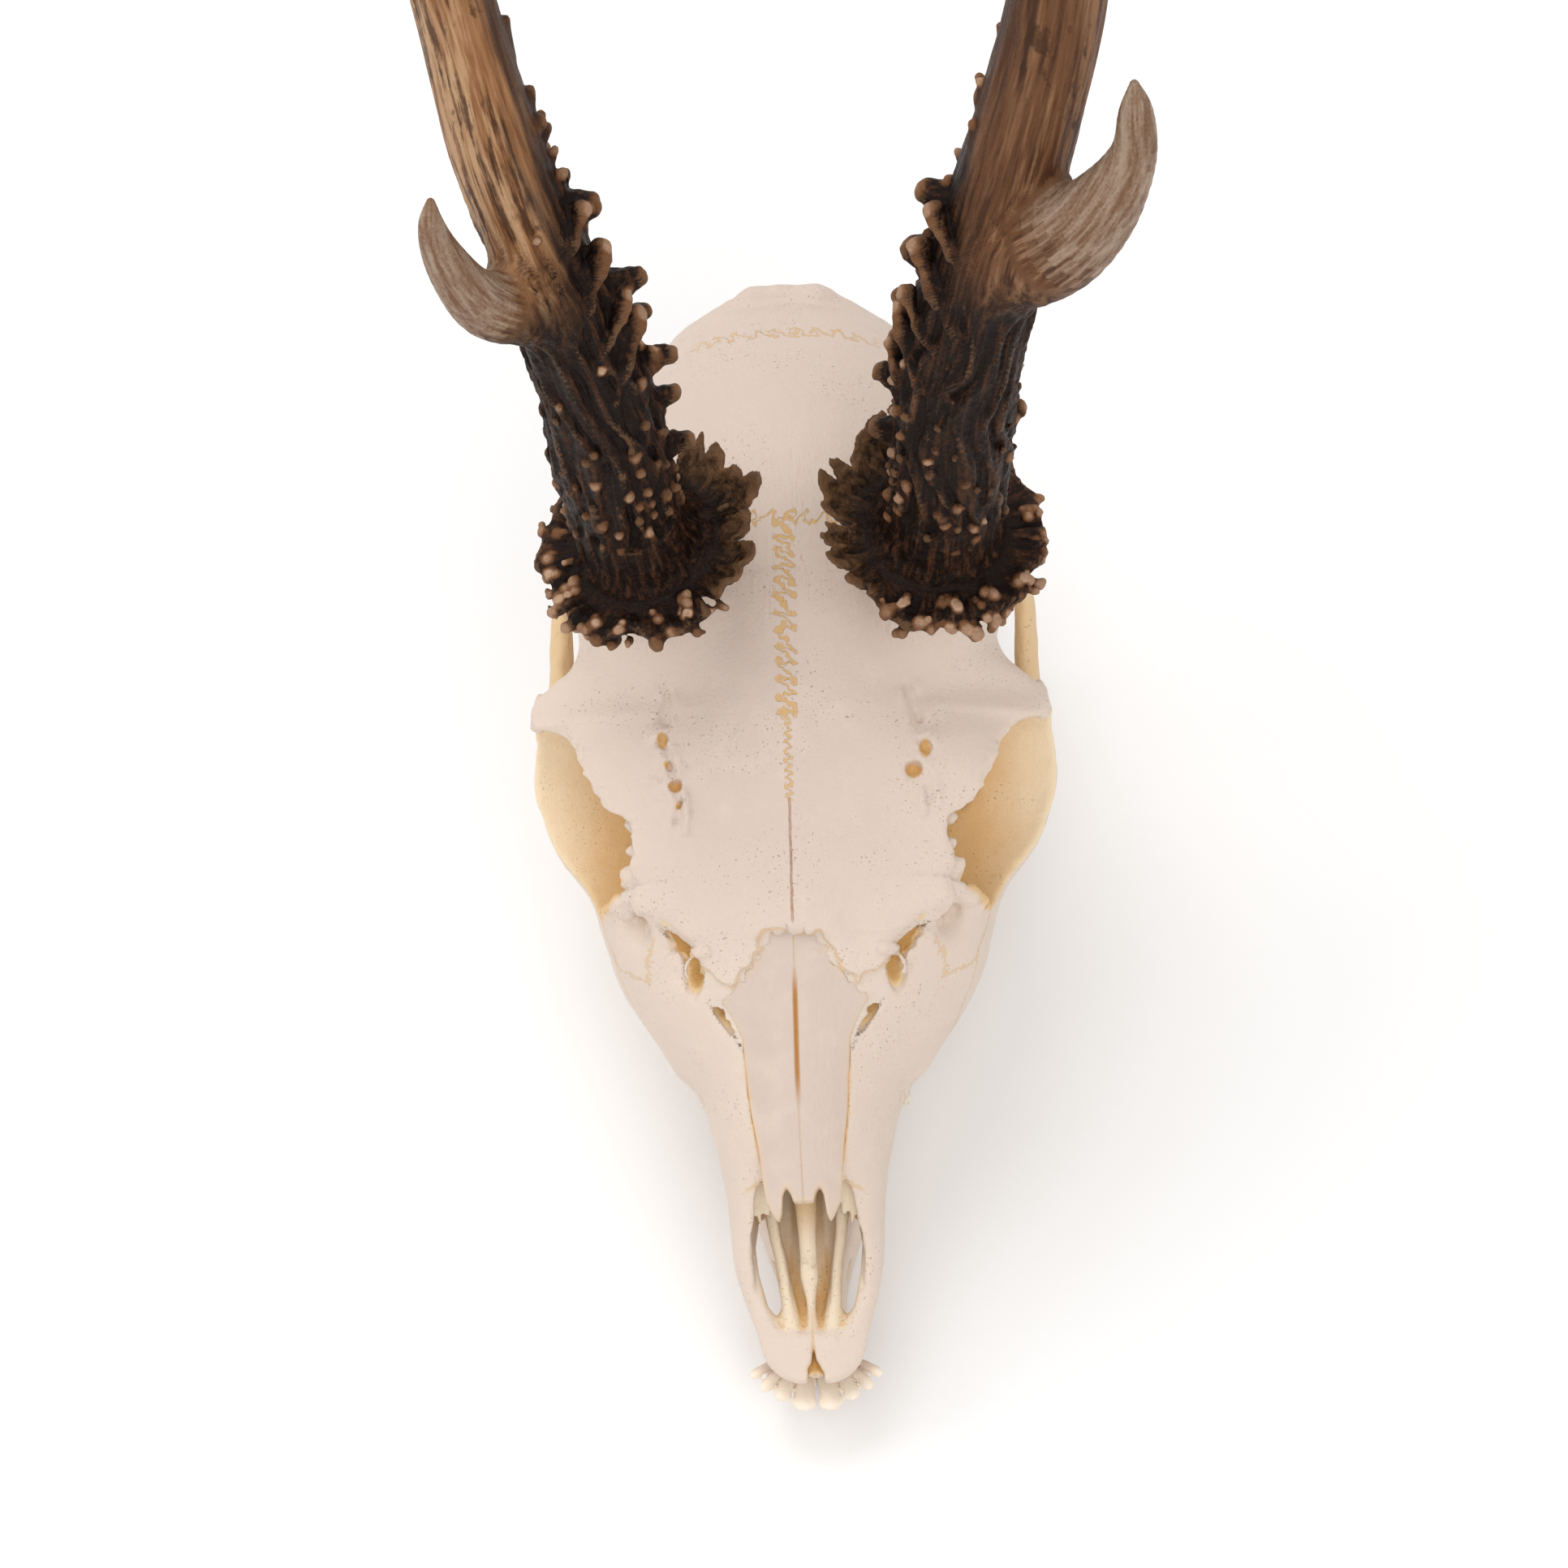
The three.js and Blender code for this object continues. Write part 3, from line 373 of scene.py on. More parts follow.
def prism(outline, low, high, side=1):
    """A prism over an outline in plan, on one side of the head."""
    points = [[side * x, y] for x, y in outline]

    def distance(x, y, z):
        return np.maximum(flat_distance(points, x, y), np.maximum(low - z, z - high))

    xs, ys = [p[0] for p in points], [p[1] for p in points]
    return Shape((min(xs), min(ys), low), (max(xs), max(ys), high), distance)


def grown(shape, by):
    """The shape, that much larger all round; smaller where it is below 0."""
    return Shape(np.array(shape.low) - by, np.array(shape.high) + by,
                 lambda x, y, z: shape.distance(x, y, z) - by)


def both(*shapes):
    """What lies in all the shapes."""
    low = np.max([np.array(s.low, float) for s in shapes], axis=0)
    high = np.min([np.array(s.high, float) for s in shapes], axis=0)

    def distance(x, y, z):
        made = shapes[0].distance(x, y, z)
        for shape in shapes[1:]:
            made = np.maximum(made, shape.distance(x, y, z))
        return made

    return Shape(low, high, distance)


def without(shape, *tools):
    """The shape, less the tools."""
    def distance(x, y, z):
        made = shape.distance(x, y, z)
        for tool in tools:
            made = np.maximum(made, -tool.distance(x, y, z))
        return made

    return Shape(shape.low, shape.high, distance)


def one_side(side, gap):
    """All that lies on one side of the midline, from a gap on."""
    low, high = ((gap, -20, -60), (80, 230, 300)) if side > 0 else ((-80, -20, -60), (-gap, 230, 300))
    return Shape(low, high, lambda x, y, z: gap - side * x + 0 * y)


# ---------- the grid of points and its surface
class Field:
    """Distances to a surface in mm, negative inside, on a grid of points."""

    def __init__(self, low, high, pitch):
        self.low = np.array(low, np.float32)
        self.pitch = pitch
        self.shape = tuple(int(math.ceil((b - a) / pitch)) + 1 for a, b in zip(low, high))
        self.values = np.full(self.shape, FAR, np.float32)

    def window(self, shape, margin):
        """The part of the grid about a shape, as slices and as the points' x, y and z."""
        spans = []
        for low, high, origin, number in zip(shape.low, shape.high, self.low, self.shape):
            start = max(0, int((low - margin - origin) / self.pitch))
            stop = min(number, int((high + margin - origin) / self.pitch) + 2)
            spans.append((start, stop))
        if any(stop <= start for start, stop in spans):
            return None, None
        axes = [np.arange(*span, dtype=np.float32) * self.pitch + o for span, o in zip(spans, self.low)]
        grid = (axes[0][:, None, None], axes[1][None, :, None], axes[2][None, None, :])
        return tuple(slice(*span) for span in spans), grid

    def add(self, shape, blend=0.5, sign=1):
        """Blends a shape in, with the seam rounded over; with sign -1 it is cut away."""
        part, grid = self.window(shape, blend + 1)
        if part is None:
            return
        old, new = sign * self.values[part], shape.distance(*grid).astype(np.float32)
        h = np.maximum(blend - np.abs(old - new), 0) / blend
        self.values[part] = sign * (np.minimum(old, new) - h * h * blend * 0.25)

    def cut(self, shape, blend=0.5):
        self.add(shape, blend, -1)

    def top(self, x, y):
        """Height of the highest surface over a place in plan."""
        i = int(round((x - float(self.low[0])) / self.pitch))
        j = int(round((y - float(self.low[1])) / self.pitch))
        column = self.values[i, j]
        k = int(np.nonzero(column < 0)[0][-1])
        return float(self.low[2]) + (k + column[k] / (column[k] - column[k + 1])) * self.pitch

    def surface(self):
        """Points and four-cornered faces of the zero surface, one point in each cell that it crosses."""
        d = self.values
        inside = d < 0
        count = np.zeros(tuple(n - 1 for n in d.shape), np.uint8)
        nx, ny, nz = count.shape
        for i, j, k in CORNERS:
            count += inside[i:i + nx, j:j + ny, k:k + nz]
        crossed = (count > 0) & (count < 8)
        cells = np.argwhere(crossed)
        number = np.full(count.shape, -1, np.int32)
        number[crossed] = np.arange(len(cells), dtype=np.int32)
        total = np.zeros((len(cells), 3), np.float32)
        found = np.zeros(len(cells), np.float32)
        for axis in range(3):
            others = [a for a in range(3) if a != axis]
            for a in (0, 1):
                for b in (0, 1):
                    start = cells.copy()
                    start[:, others[0]] += a
                    start[:, others[1]] += b
                    end = start.copy()
                    end[:, axis] += 1
                    d0, d1 = d[tuple(start.T)], d[tuple(end.T)]
                    hit = (d0 < 0) != (d1 < 0)
                    place = start[hit].astype(np.float32)
                    place[:, axis] += d0[hit] / (d0[hit] - d1[hit])
                    total[hit] += place
                    found[hit] += 1
        points = total / found[:, None] * self.pitch + self.low
        faces = []
        for axis in range(3):
            ahead = [slice(None)] * 3
            behind = [slice(None)] * 3
            ahead[axis], behind[axis] = slice(1, None), slice(None, -1)
            first, second = inside[tuple(behind)], inside[tuple(ahead)]
            edges = np.argwhere(first != second)
            b, c = [a for a in range(3) if a != axis]
            fits = (edges[:, b] > 0) & (edges[:, c] > 0)
            fits &= (edges[:, b] < d.shape[b] - 1) & (edges[:, c] < d.shape[c] - 1)
            edges = edges[fits]
            corner = []
            for ob, oc in ((-1, -1), (0, -1), (0, 0), (-1, 0)):
                cell = edges.copy()
                cell[:, b] += ob
                cell[:, c] += oc
                corner.append(number[tuple(cell.T)])
            quad = np.stack(corner, axis=1)
            outward = first[tuple(edges.T)] ^ (axis == 1)
            quad[~outward] = quad[~outward][:, ::-1]
            faces.append(quad)
        return points, np.concatenate(faces)


def gathered(values, corners, number):
    """For each point, the sum of the rows whose corner it is."""
    return np.stack([np.bincount(corners, weights=column, minlength=number) for column in values.T], axis=1)


def normals_of(points, faces):
    a, b, c, d = (points[faces[:, i]] for i in range(4))
    face = np.cross(c - a, d - b)
    total = np.zeros_like(points)
    for i in range(4):
        total += gathered(face, faces[:, i], len(points))
    return total / (np.linalg.norm(total, axis=1, keepdims=True) + 1e-9)


def relaxed(points, faces, share=0.5):
    """The points moved part of the way to their neighbours' middle, which takes out the grid's steps."""
    total = np.zeros_like(points)
    count = np.bincount(faces.ravel(), minlength=len(points)).astype(np.float32)
    for i in range(4):
        near = (points[faces[:, (i + 1) % 4]] + points[faces[:, (i + 3) % 4]]) / 2
        total += gathered(near, faces[:, i], len(points))
    return lerp(points, total / count[:, None], share).astype(np.float32)


def raised(points, normals, height):
    return (points + normals * height[:, None]).astype(np.float32)


def crowding(field, points, radius):
    """Share of bone in a cube about each point: under a half on edges and tips, over it in hollows."""
    solid = np.zeros(tuple(n + 1 for n in field.shape), np.int32)
    solid[1:, 1:, 1:] = field.values < 0
    for axis in range(3):
        np.cumsum(solid, axis=axis, out=solid)
    reach = max(1, int(round(radius / field.pitch)))
    cell = np.round((points - field.low) / field.pitch).astype(np.int32)
    low = [np.clip(cell[:, a] - reach, 0, field.shape[a]) for a in range(3)]
    high = [np.clip(cell[:, a] + reach + 1, 0, field.shape[a]) for a in range(3)]
    total = np.zeros(len(points), np.int64)
    for i, j, k in CORNERS:
        sign = 1 if (i + j + k) % 2 else -1
        x, y, z = (high[0] if i else low[0]), (high[1] if j else low[1]), (high[2] if k else low[2])
        total += sign * solid[x, y, z]
    volume = (2 * reach + 1) ** 3
    return (total / volume).astype(np.float32)


def settle(points):
    """Bends the snout, tips the head onto its lower jaws and moves it into the part's frame, in metres."""
    x, y, z = points.T.astype(np.float64)
    bent = x + SNOUT_BEND * np.maximum(0, 1 - y / SNOUT_ROOT) ** SNOUT_CURVE
    c, s = math.cos(math.radians(PITCH)), math.sin(math.radians(PITCH))
    height = np.maximum(y * s + z * c + LIFT, 0)
    return np.stack([bent - ORIGIN_X, y * c - z * s - ORIGIN_Y, height], axis=1) * MM


def piece(name, points, faces, material, slot, nodes, **facts):
    """A mesh from points in the head's frame. A fact has a value for each point, for the material to read."""
    mesh = bpy.data.meshes.new(name)
    mesh.vertices.add(len(points))
    mesh.vertices.foreach_set("co", settle(points).astype(np.float32).ravel())
    mesh.loops.add(faces.size)
    mesh.loops.foreach_set("vertex_index", faces.ravel().astype(np.int32))
    mesh.polygons.add(len(faces))
    mesh.polygons.foreach_set("loop_start", np.arange(0, faces.size, 4, dtype=np.int32))
    mesh.polygons.foreach_set("use_smooth", np.ones(len(faces), bool))
    mesh.update(calc_edges=True)
    for fact, values in {"head": points, **facts}.items():
        single = values.ndim == 1
        attribute = mesh.attributes.new(fact, "FLOAT" if single else "FLOAT_VECTOR", "POINT")
        attribute.data.foreach_set("value" if single else "vector", values.astype(np.float32).ravel())
    mesh.materials.append(material)
    made = bpy.data.objects.new(name, mesh)
    bpy.context.scene.collection.objects.link(made)
    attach(made, "root")
    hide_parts(*nodes)


# ---------- shader helpers
class Paint:
    """One material's nodes, with plain arithmetic on their values."""

    def __init__(self, name, rough, color, **settings):
        self.color = color
        self.material = bpy.data.materials.new(name)
        self.material.use_nodes = True
        self.tree = self.material.node_tree
        self.shader = self.tree.nodes["Principled BSDF"]
        self.shader.inputs["Roughness"].default_value = rough
        for label, value in settings.items():
            self.shader.inputs[label.replace("_", " ")].default_value = value
        self.head = self.attribute("head", "Vector")

    def node(self, kind, **settings):
        made = self.tree.nodes.new(kind)
        for name, value in settings.items():
            setattr(made, name, value)
        return made

    def feed(self, socket, value):
        if isinstance(value, Value):
            self.tree.links.new(value.socket, socket)
        else:
            socket.default_value = value

    def attribute(self, name, output="Fac"):
        return Value(self, self.node("ShaderNodeAttribute", attribute_name=name).outputs[output])

    def math(self, operation, *values, clamp=False):
        made = self.node("ShaderNodeMath", operation=operation, use_clamp=clamp)
        for socket, value in zip(made.inputs, values):
            self.feed(socket, value)
        return Value(self, made.outputs[0])

    def noise(self, scale, detail=2.0, roughness=0.5, at=None, stretch=(1, 1, 1), offset=(0, 0, 0)):
        """Noise about 0, from -0.5 to 0.5; scale is in lumps per millimetre."""
        place = self.node("ShaderNodeMapping")
        place.inputs["Scale"].default_value = stretch
        place.inputs["Location"].default_value = offset
        self.feed(place.inputs["Vector"], at or self.head)
        made = self.node("ShaderNodeTexNoise")
        made.inputs["Scale"].default_value = scale
        made.inputs["Detail"].default_value = detail
        made.inputs["Roughness"].default_value = roughness
        self.tree.links.new(place.outputs[0], made.inputs["Vector"])
        return Value(self, made.outputs["Fac"]) - 0.5

    def split(self, vector):
        made = self.node("ShaderNodeSeparateXYZ")
        self.feed(made.inputs[0], vector)
        return [Value(self, socket) for socket in made.outputs]

    def mix(self, share, first, second):
        made = self.node("ShaderNodeMix", data_type="RGBA")
        self.feed(made.inputs["Factor"], share)
        for socket, value in ((made.inputs[6], first), (made.inputs[7], second)):
            self.feed(socket, value if isinstance(value, Value) else (*value, 1))
        return Value(self, made.outputs[2])

    def coat(self, share, color):
        """Lays a colour over what is there, to a share of 0 to 1."""
        self.color = self.mix(share, self.color, color)

    def finish(self, height, depth, rough=None):
        """Gives the shader its colour, bumps of a depth in mm, and a roughness that varies."""
        self.feed(self.shader.inputs["Base Color"], self.color)
        if rough is not None:
            self.feed(self.shader.inputs["Roughness"], rough)
        bump = self.node("ShaderNodeBump")
        bump.inputs["Distance"].default_value = depth * MM
        self.feed(bump.inputs["Height"], height)
        self.tree.links.new(bump.outputs[0], self.shader.inputs["Normal"])
        return self.material


class Value:
    """The output of a node."""

    def __init__(self, paint, socket):
        self.paint, self.socket = paint, socket

    def __add__(self, other):
        return self.paint.math("ADD", self, other)

    def __sub__(self, other):
        return self.paint.math("SUBTRACT", self, other)

    def __rsub__(self, other):
        return self.paint.math("SUBTRACT", other, self)

    def __mul__(self, other):
        return self.paint.math("MULTIPLY", self, other)

    __radd__, __rmul__ = __add__, __mul__

    def __abs__(self):
        return self.paint.math("ABSOLUTE", self)

    def rise(self, low, high):
        """0 up to low, 1 from high on, and smooth between; it falls instead where low is above high."""
        made = self.paint.node("ShaderNodeMapRange", interpolation_type="SMOOTHSTEP")
        self.paint.feed(made.inputs["Value"], self)
        falls = low > high
        made.inputs["From Min"].default_value = min(low, high)
        made.inputs["From Max"].default_value = max(low, high)
        made.inputs["To Min"].default_value = 1.0 if falls else 0.0
        made.inputs["To Max"].default_value = 0.0 if falls else 1.0
        return Value(self.paint, made.outputs["Result"])


# ---------- materials
# Bone from fresh to darkest, then the places with a colour of their own. AMBER and TAN also serve as painted
# shade in hollows, and the socket, arch, nose, gap, seam and slit colours are painted light and shade.
CREAM, SHADED, IVORY = (0.71, 0.59, 0.498), (0.655, 0.535, 0.465), (0.765, 0.65, 0.53)
SAND, AMBER, TAN, OCHRE = (0.67, 0.53, 0.405), (0.75, 0.54, 0.32), (0.64, 0.42, 0.20), (0.68, 0.41, 0.14)
SOCKET_PAINTED_LIGHT, SOCKET_PAINTED_SHADE, ARCH_PAINTED_SHADE = (0.84, 0.68, 0.47), (0.72, 0.46, 0.205), (0.70, 0.49, 0.26)
NOSE_BARS_PAINTED_LIGHT, NOSE_TROUGHS_PAINTED_SHADE, NOSE_DEPTH_PAINTED_SHADE = (0.80, 0.665, 0.50), (0.64, 0.40, 0.17), (0.56, 0.36, 0.17)
GAP_EDGE_PAINTED_SHADE, GAP_DEPTH_PAINTED_SHADE = (0.80, 0.60, 0.33), (0.54, 0.30, 0.095)
NASAL_SEAM_PAINTED_SHADE, MIDLINE = (0.66, 0.37, 0.13), (0.45, 0.22, 0.11)
NASAL_SHADED, NASAL_SLIT_PAINTED_SHADE, JAW_SAND = (0.575, 0.466, 0.407), (0.46, 0.21, 0.06), (0.66, 0.52, 0.37)
UPPER_ENAMEL, LOWER_ENAMEL, TOOTH_STAIN = (0.80, 0.72, 0.58), (0.90, 0.78, 0.65), (0.42, 0.27, 0.13)
BONE_GLOW = dict(Subsurface_Weight=0.12, Subsurface_Scale=0.003, Subsurface_Radius=(1.0, 0.55, 0.3),
                 Specular_IOR_Level=0.3)
# Antler. The browns are those of streaks from dark to light, and the right antler is the lighter one.
FOOT_BLACK, FOOT_BROWN, LEAF_BROWN = (0.008, 0.0033, 0.002), (0.085, 0.033, 0.014), (0.120, 0.060, 0.026)
BROWNS = {
    -1: ((0.16, 0.062, 0.023), (0.38, 0.185, 0.080), (0.52, 0.32, 0.18)),
    1: ((0.060, 0.023, 0.010), (0.17, 0.074, 0.033), (0.27, 0.140, 0.070)),
}
STREAK, BLOTCH, INNER_BROWN = (0.060, 0.023, 0.010), (0.045, 0.018, 0.008), (0.055, 0.023, 0.012)
FURROW, RIDGE = (0.010, 0.005, 0.004), (0.24, 0.125, 0.062)
TINE_GREY, TINE_PALE = (0.18, 0.090, 0.047), (0.38, 0.28, 0.205)
PEARL_BROWN, PEARL_WORN = (0.17, 0.072, 0.030), (0.54, 0.345, 0.23)


def line(distance, width):
    """1 along the place where a distance is 0, falling to 0 at that width on each side."""
    return abs(distance).rise(width, width * 0.35)


def meander(p, along, across, reach, pace, lean):
    """Distance to a suture that winds to both sides of a line, and loops back where its lean is strong."""
    phase = along * pace + across * lean + p.noise(0.35, 2, offset=(11, 5, 2)) * 9 + p.noise(0.9, 2) * 4
    swing, slope = p.math("SINE", phase), p.math("COSINE", phase)
    # The winding line's own steepness turns its offset into a true distance.
    steep_across, steep_along = slope * (reach * lean) + 1, slope * (reach * pace)
    steep = p.math("SQRT", steep_across * steep_across + steep_along * steep_along + 0.08)
    return p.math("DIVIDE", across + swing * reach, steep)


def mottling(p):
    """Broad, middling and fine patches of bone."""
    return p.noise(0.03, 2), p.noise(0.16, 3), p.noise(1.6, 3)


def tooth_grooves(p):
    return p.noise(0.9, 3, 0.6, stretch=(1, 1, 0.3)).rise(0.02, 0.2)


def sutures(p, x, y, z, across):
    """The skull's winding sutures, and the straight one between the frontal bones in front."""
    wander = p.noise(0.42, 4, 0.6) * 2.4
    ragged = p.noise(0.9, 3, 0.6, offset=(3, 9, 4)) * 2.2
    upper = z.rise(33, 37)
    straight = line(x + ragged * 0.2, 0.27) * y.rise(71.5, 72.5) * y.rise(93.5, 92.5)
    zigzag = line(meander(p, y, x + wander * 0.5, 0.55, 4.2, 0.9), 0.27) * y.rise(92, 93) * y.rise(110, 106)
    loops = line(meander(p, y, x + wander * 0.7, 1.6, 2.2, 1.3), 0.4) * y.rise(104, 108) * y.rise(143, 142)
    rear = line(meander(p, x, p.attribute("coronal") + wander, 1.2, 1.9, 1.2), 0.33) * upper
    rear = rear * p.math("MAXIMUM", across.rise(17, 14), z.rise(56, 50) * across.rise(30, 24))
    occiput = y + x * x * 0.004 - 185 + wander
    lambdoid = line(meander(p, x, occiput, 1.1, 1.7, 1.3), 0.32) * across.rise(20, 13) * z.rise(30, 36)
    front = line(p.attribute("frontal_edge") + ragged * 0.5, 0.4)
    front = front * y.rise(78, 75) * across.rise(25, 22) * upper
    lips = line(p.attribute("premaxilla_edge") + ragged * 0.5, 0.35) * y.rise(20, 26) * z.rise(16, 18)
    jugal = line(p.attribute("jugal_edge") + ragged, 0.4) * across.rise(22, 25)
    lacrimal = line(p.attribute("lacrimal_edge") + ragged * 1.3, 0.4) * across.rise(21, 24) * z.rise(38, 36)
    palate = line(x + ragged * 0.2, 0.4) * y.rise(12, 10)
    joints = (loops + rear) * 0.95 + zigzag * 0.7 + lambdoid * 0.6
    joints = joints + (front + jugal + lacrimal + palate) * 0.4 + lips * 0.4
    return p.math("MINIMUM", joints * (p.noise(0.3, 2) * 0.8 + 1.25), 1.0), straight


def bone_paint():
    """Bleached bone: cream, greyer on the forehead, amber along its sutures, with painted shade in amber and
    tan in its hollows and painted light and shade in the orbits, the nose and the gaps.
    """
    p = Paint("skull_bone", 0.55, CREAM, **BONE_GLOW)
    x, y, z = p.split(p.head)
    across = abs(x)
    hollow, deep = p.attribute("hollow"), p.attribute("deep")
    broad, middle, fine = mottling(p)
    forehead = z.rise(34, 47) * y.rise(50, 90) * across.rise(33, 14) * y.rise(165, 120)
    p.coat(forehead * (broad + 0.85), SHADED)
    p.coat((middle + broad).rise(0.05, 0.5) * 0.45, IVORY)
    p.coat((middle - broad).rise(0.1, 0.55) * 0.3, SAND)
    # Painted shade: amber in the hollows.
    p.coat((hollow + fine * 0.12).rise(0.58, 0.86) * 0.75, AMBER)
    # Painted shade: amber, then tan, deeper in the large recesses.
    p.coat((deep + middle * 0.1).rise(0.55, 0.85) * 0.8, AMBER)
    p.coat((deep + middle * 0.1).rise(0.76, 0.97) * 0.9, TAN)
    p.coat(y.rise(146, 172) * z.rise(30, 36) * 0.7, SHADED)

    # The orbit's bowl: painted light, pale, on its outer part and painted shade, darker amber, deeper in; the
    # arch behind the orbit gets darker amber painted shade.
    socket = p.mix((across + middle * 6).rise(46, 31), SOCKET_PAINTED_LIGHT, SOCKET_PAINTED_SHADE)
    p.coat(p.attribute("bowl"), p.mix(y.rise(112, 118) * 0.8, socket, ARCH_PAINTED_SHADE))
    # Inside the nose: painted light on the bars and painted shade in the troughs, darker still further back
    # near the midline under the nasal bones.
    inside = p.mix((hollow + middle * 0.12).rise(0.46, 0.72), NOSE_BARS_PAINTED_LIGHT, NOSE_TROUGHS_PAINTED_SHADE)
    inside = p.mix(y.rise(21, 29) * across.rise(3.4, 2.6) * 0.8, inside, NOSE_DEPTH_PAINTED_SHADE)
    p.coat(p.attribute("nose"), inside)
    # Painted shade in the gaps between the face's bones and in the notch at the snout's tip: amber near the
    # surface, darker deeper in.
    gaps = p.attribute("gaps") + fine * 0.3 + middle * 0.3
    p.coat(gaps.rise(0.1, 0.5), GAP_EDGE_PAINTED_SHADE)
    p.coat(gaps.rise(0.4, 1.0), GAP_DEPTH_PAINTED_SHADE)
    # Painted shade: ochre inside the holes over the eyes.
    p.coat((p.attribute("pits") + fine * 0.5).rise(0.35, 0.8) * 0.85, OCHRE)
    # Painted shade: dark orange on the bed under the nasal bones, seen through the gaps beside them, fading
    # out toward the back.
    p.coat(p.attribute("bed") * (fine * 0.5 + 0.8) * y.rise(58, 44), NASAL_SEAM_PAINTED_SHADE)

    joints, straight = sutures(p, x, y, z, across)
    p.coat(joints * 0.85, OCHRE)
    p.coat(straight * ((p.noise(0.5, 3) + 0.1) * 1.6 + 0.6), MIDLINE)
    pores = p.noise(2.4, 2, 0.5).rise(-0.17, -0.26) * p.noise(0.08, 2).rise(-0.06, 0.12)
    p.coat(pores * 0.35, TAN)
    pedicle = z.rise(58, 66) * y.rise(108, 116)
    streaks = p.noise(1.2, 3, 0.6, stretch=(1, 0.12, 0.2))
    p.coat(streaks.rise(0.02, 0.3) * pedicle * 0.5, AMBER)
    tooth = z.rise(-0.2, -1.4) * y.rise(50, 52) * y.rise(113, 111) * across.rise(8, 10)
    p.coat(tooth, p.mix(tooth_grooves(p), UPPER_ENAMEL, TOOTH_STAIN))

    relief = fine * 0.35 + p.noise(6, 2) * 0.1 + streaks * (pedicle + 0.12) * 1.5
    relief = relief - joints * 0.35 - straight * 0.5 - pores
    return p.finish(relief, 0.35, (middle + 0.5) * 0.14 + 0.47 - tooth * 0.2)


def nasal_paint():
    """The nasal bones: cream, smooth, a little warmer along their edges, with painted shade in tan underneath
    and dark brown in the slit between them.
    """
    p = Paint("nasal_bone", 0.5, CREAM, **BONE_GLOW)
    x, y, _ = p.split(p.head)
    across = abs(x)
    broad, middle = p.noise(0.04, 2), p.noise(0.2, 3)
    p.coat(broad * 0.8 + 0.6, NASAL_SHADED)
    p.coat((middle + broad).rise(0.0, 0.5) * 0.4, IVORY)
    edge = p.attribute("edge") + middle * 0.4
    p.coat(edge.rise(1.1, 0.1) * 0.35, AMBER)
    p.coat(edge.rise(0.3, 0.0) * 0.7 * y.rise(56, 40) * y.rise(29, 33), OCHRE)
    p.coat(across.rise(0.3, 0.1) * (middle + 0.5) * 0.5, OCHRE)
    # Painted shade: dark brown in the slit between the two bones.
    p.coat(across.rise(0.65, 0.25) * y.rise(41, 48) * y.rise(66, 60), NASAL_SLIT_PAINTED_SHADE)
    # Painted shade: tan on the faces that look down.
    p.coat(p.attribute("under") * 0.9, TAN)
    grain = p.noise(1.4, 3, 0.6, stretch=(1, 0.1, 0.5))
    return p.finish(grain * 0.5 + p.noise(5, 2) * 0.15, 0.3)


def jaw_paint():
    """The lower jaws: cream bone, with enamel on the cheek teeth and front teeth, and painted shade in amber,
    ochre and tan in the hollows.
    """
    p = Paint("jaw_bone", 0.55, CREAM, **BONE_GLOW)
    _, y, z = p.split(p.head)
    hollow, deep = p.attribute("hollow"), p.attribute("deep")
    broad, middle, fine = mottling(p)
    p.coat((middle + broad).rise(0.0, 0.5) * 0.5, IVORY)
    p.coat((middle - broad).rise(0.1, 0.55) * 0.5, JAW_SAND)
    # Painted shade: amber in the hollows.
    p.coat((hollow + fine * 0.12).rise(0.56, 0.86), AMBER)
    cheek = z.rise(-13.4, -12.2) * y.rise(46.5, 48) * y.rise(115, 113.5)
    front = y.rise(3, 1) * z.rise(-8.6, -7)
    tooth = p.math("MAXIMUM", cheek, front)
    p.coat(tooth, p.mix(tooth_grooves(p) * cheek, LOWER_ENAMEL, TOOTH_STAIN))
    # Painted shade: ochre in the creases between the front teeth.
    p.coat(front * (hollow + fine * 0.1).rise(0.5, 0.75) * 0.8, OCHRE)
    # Painted shade: tan patches in the deep hollows.
    p.coat(p.noise(0.5, 3).rise(0.1, 0.3) * deep.rise(0.4, 0.6) * 0.4, TAN)
    return p.finish(fine * 0.35 + p.noise(6, 2) * 0.1, 0.35, (middle + 0.5) * 0.14 + 0.47 - tooth * 0.22)


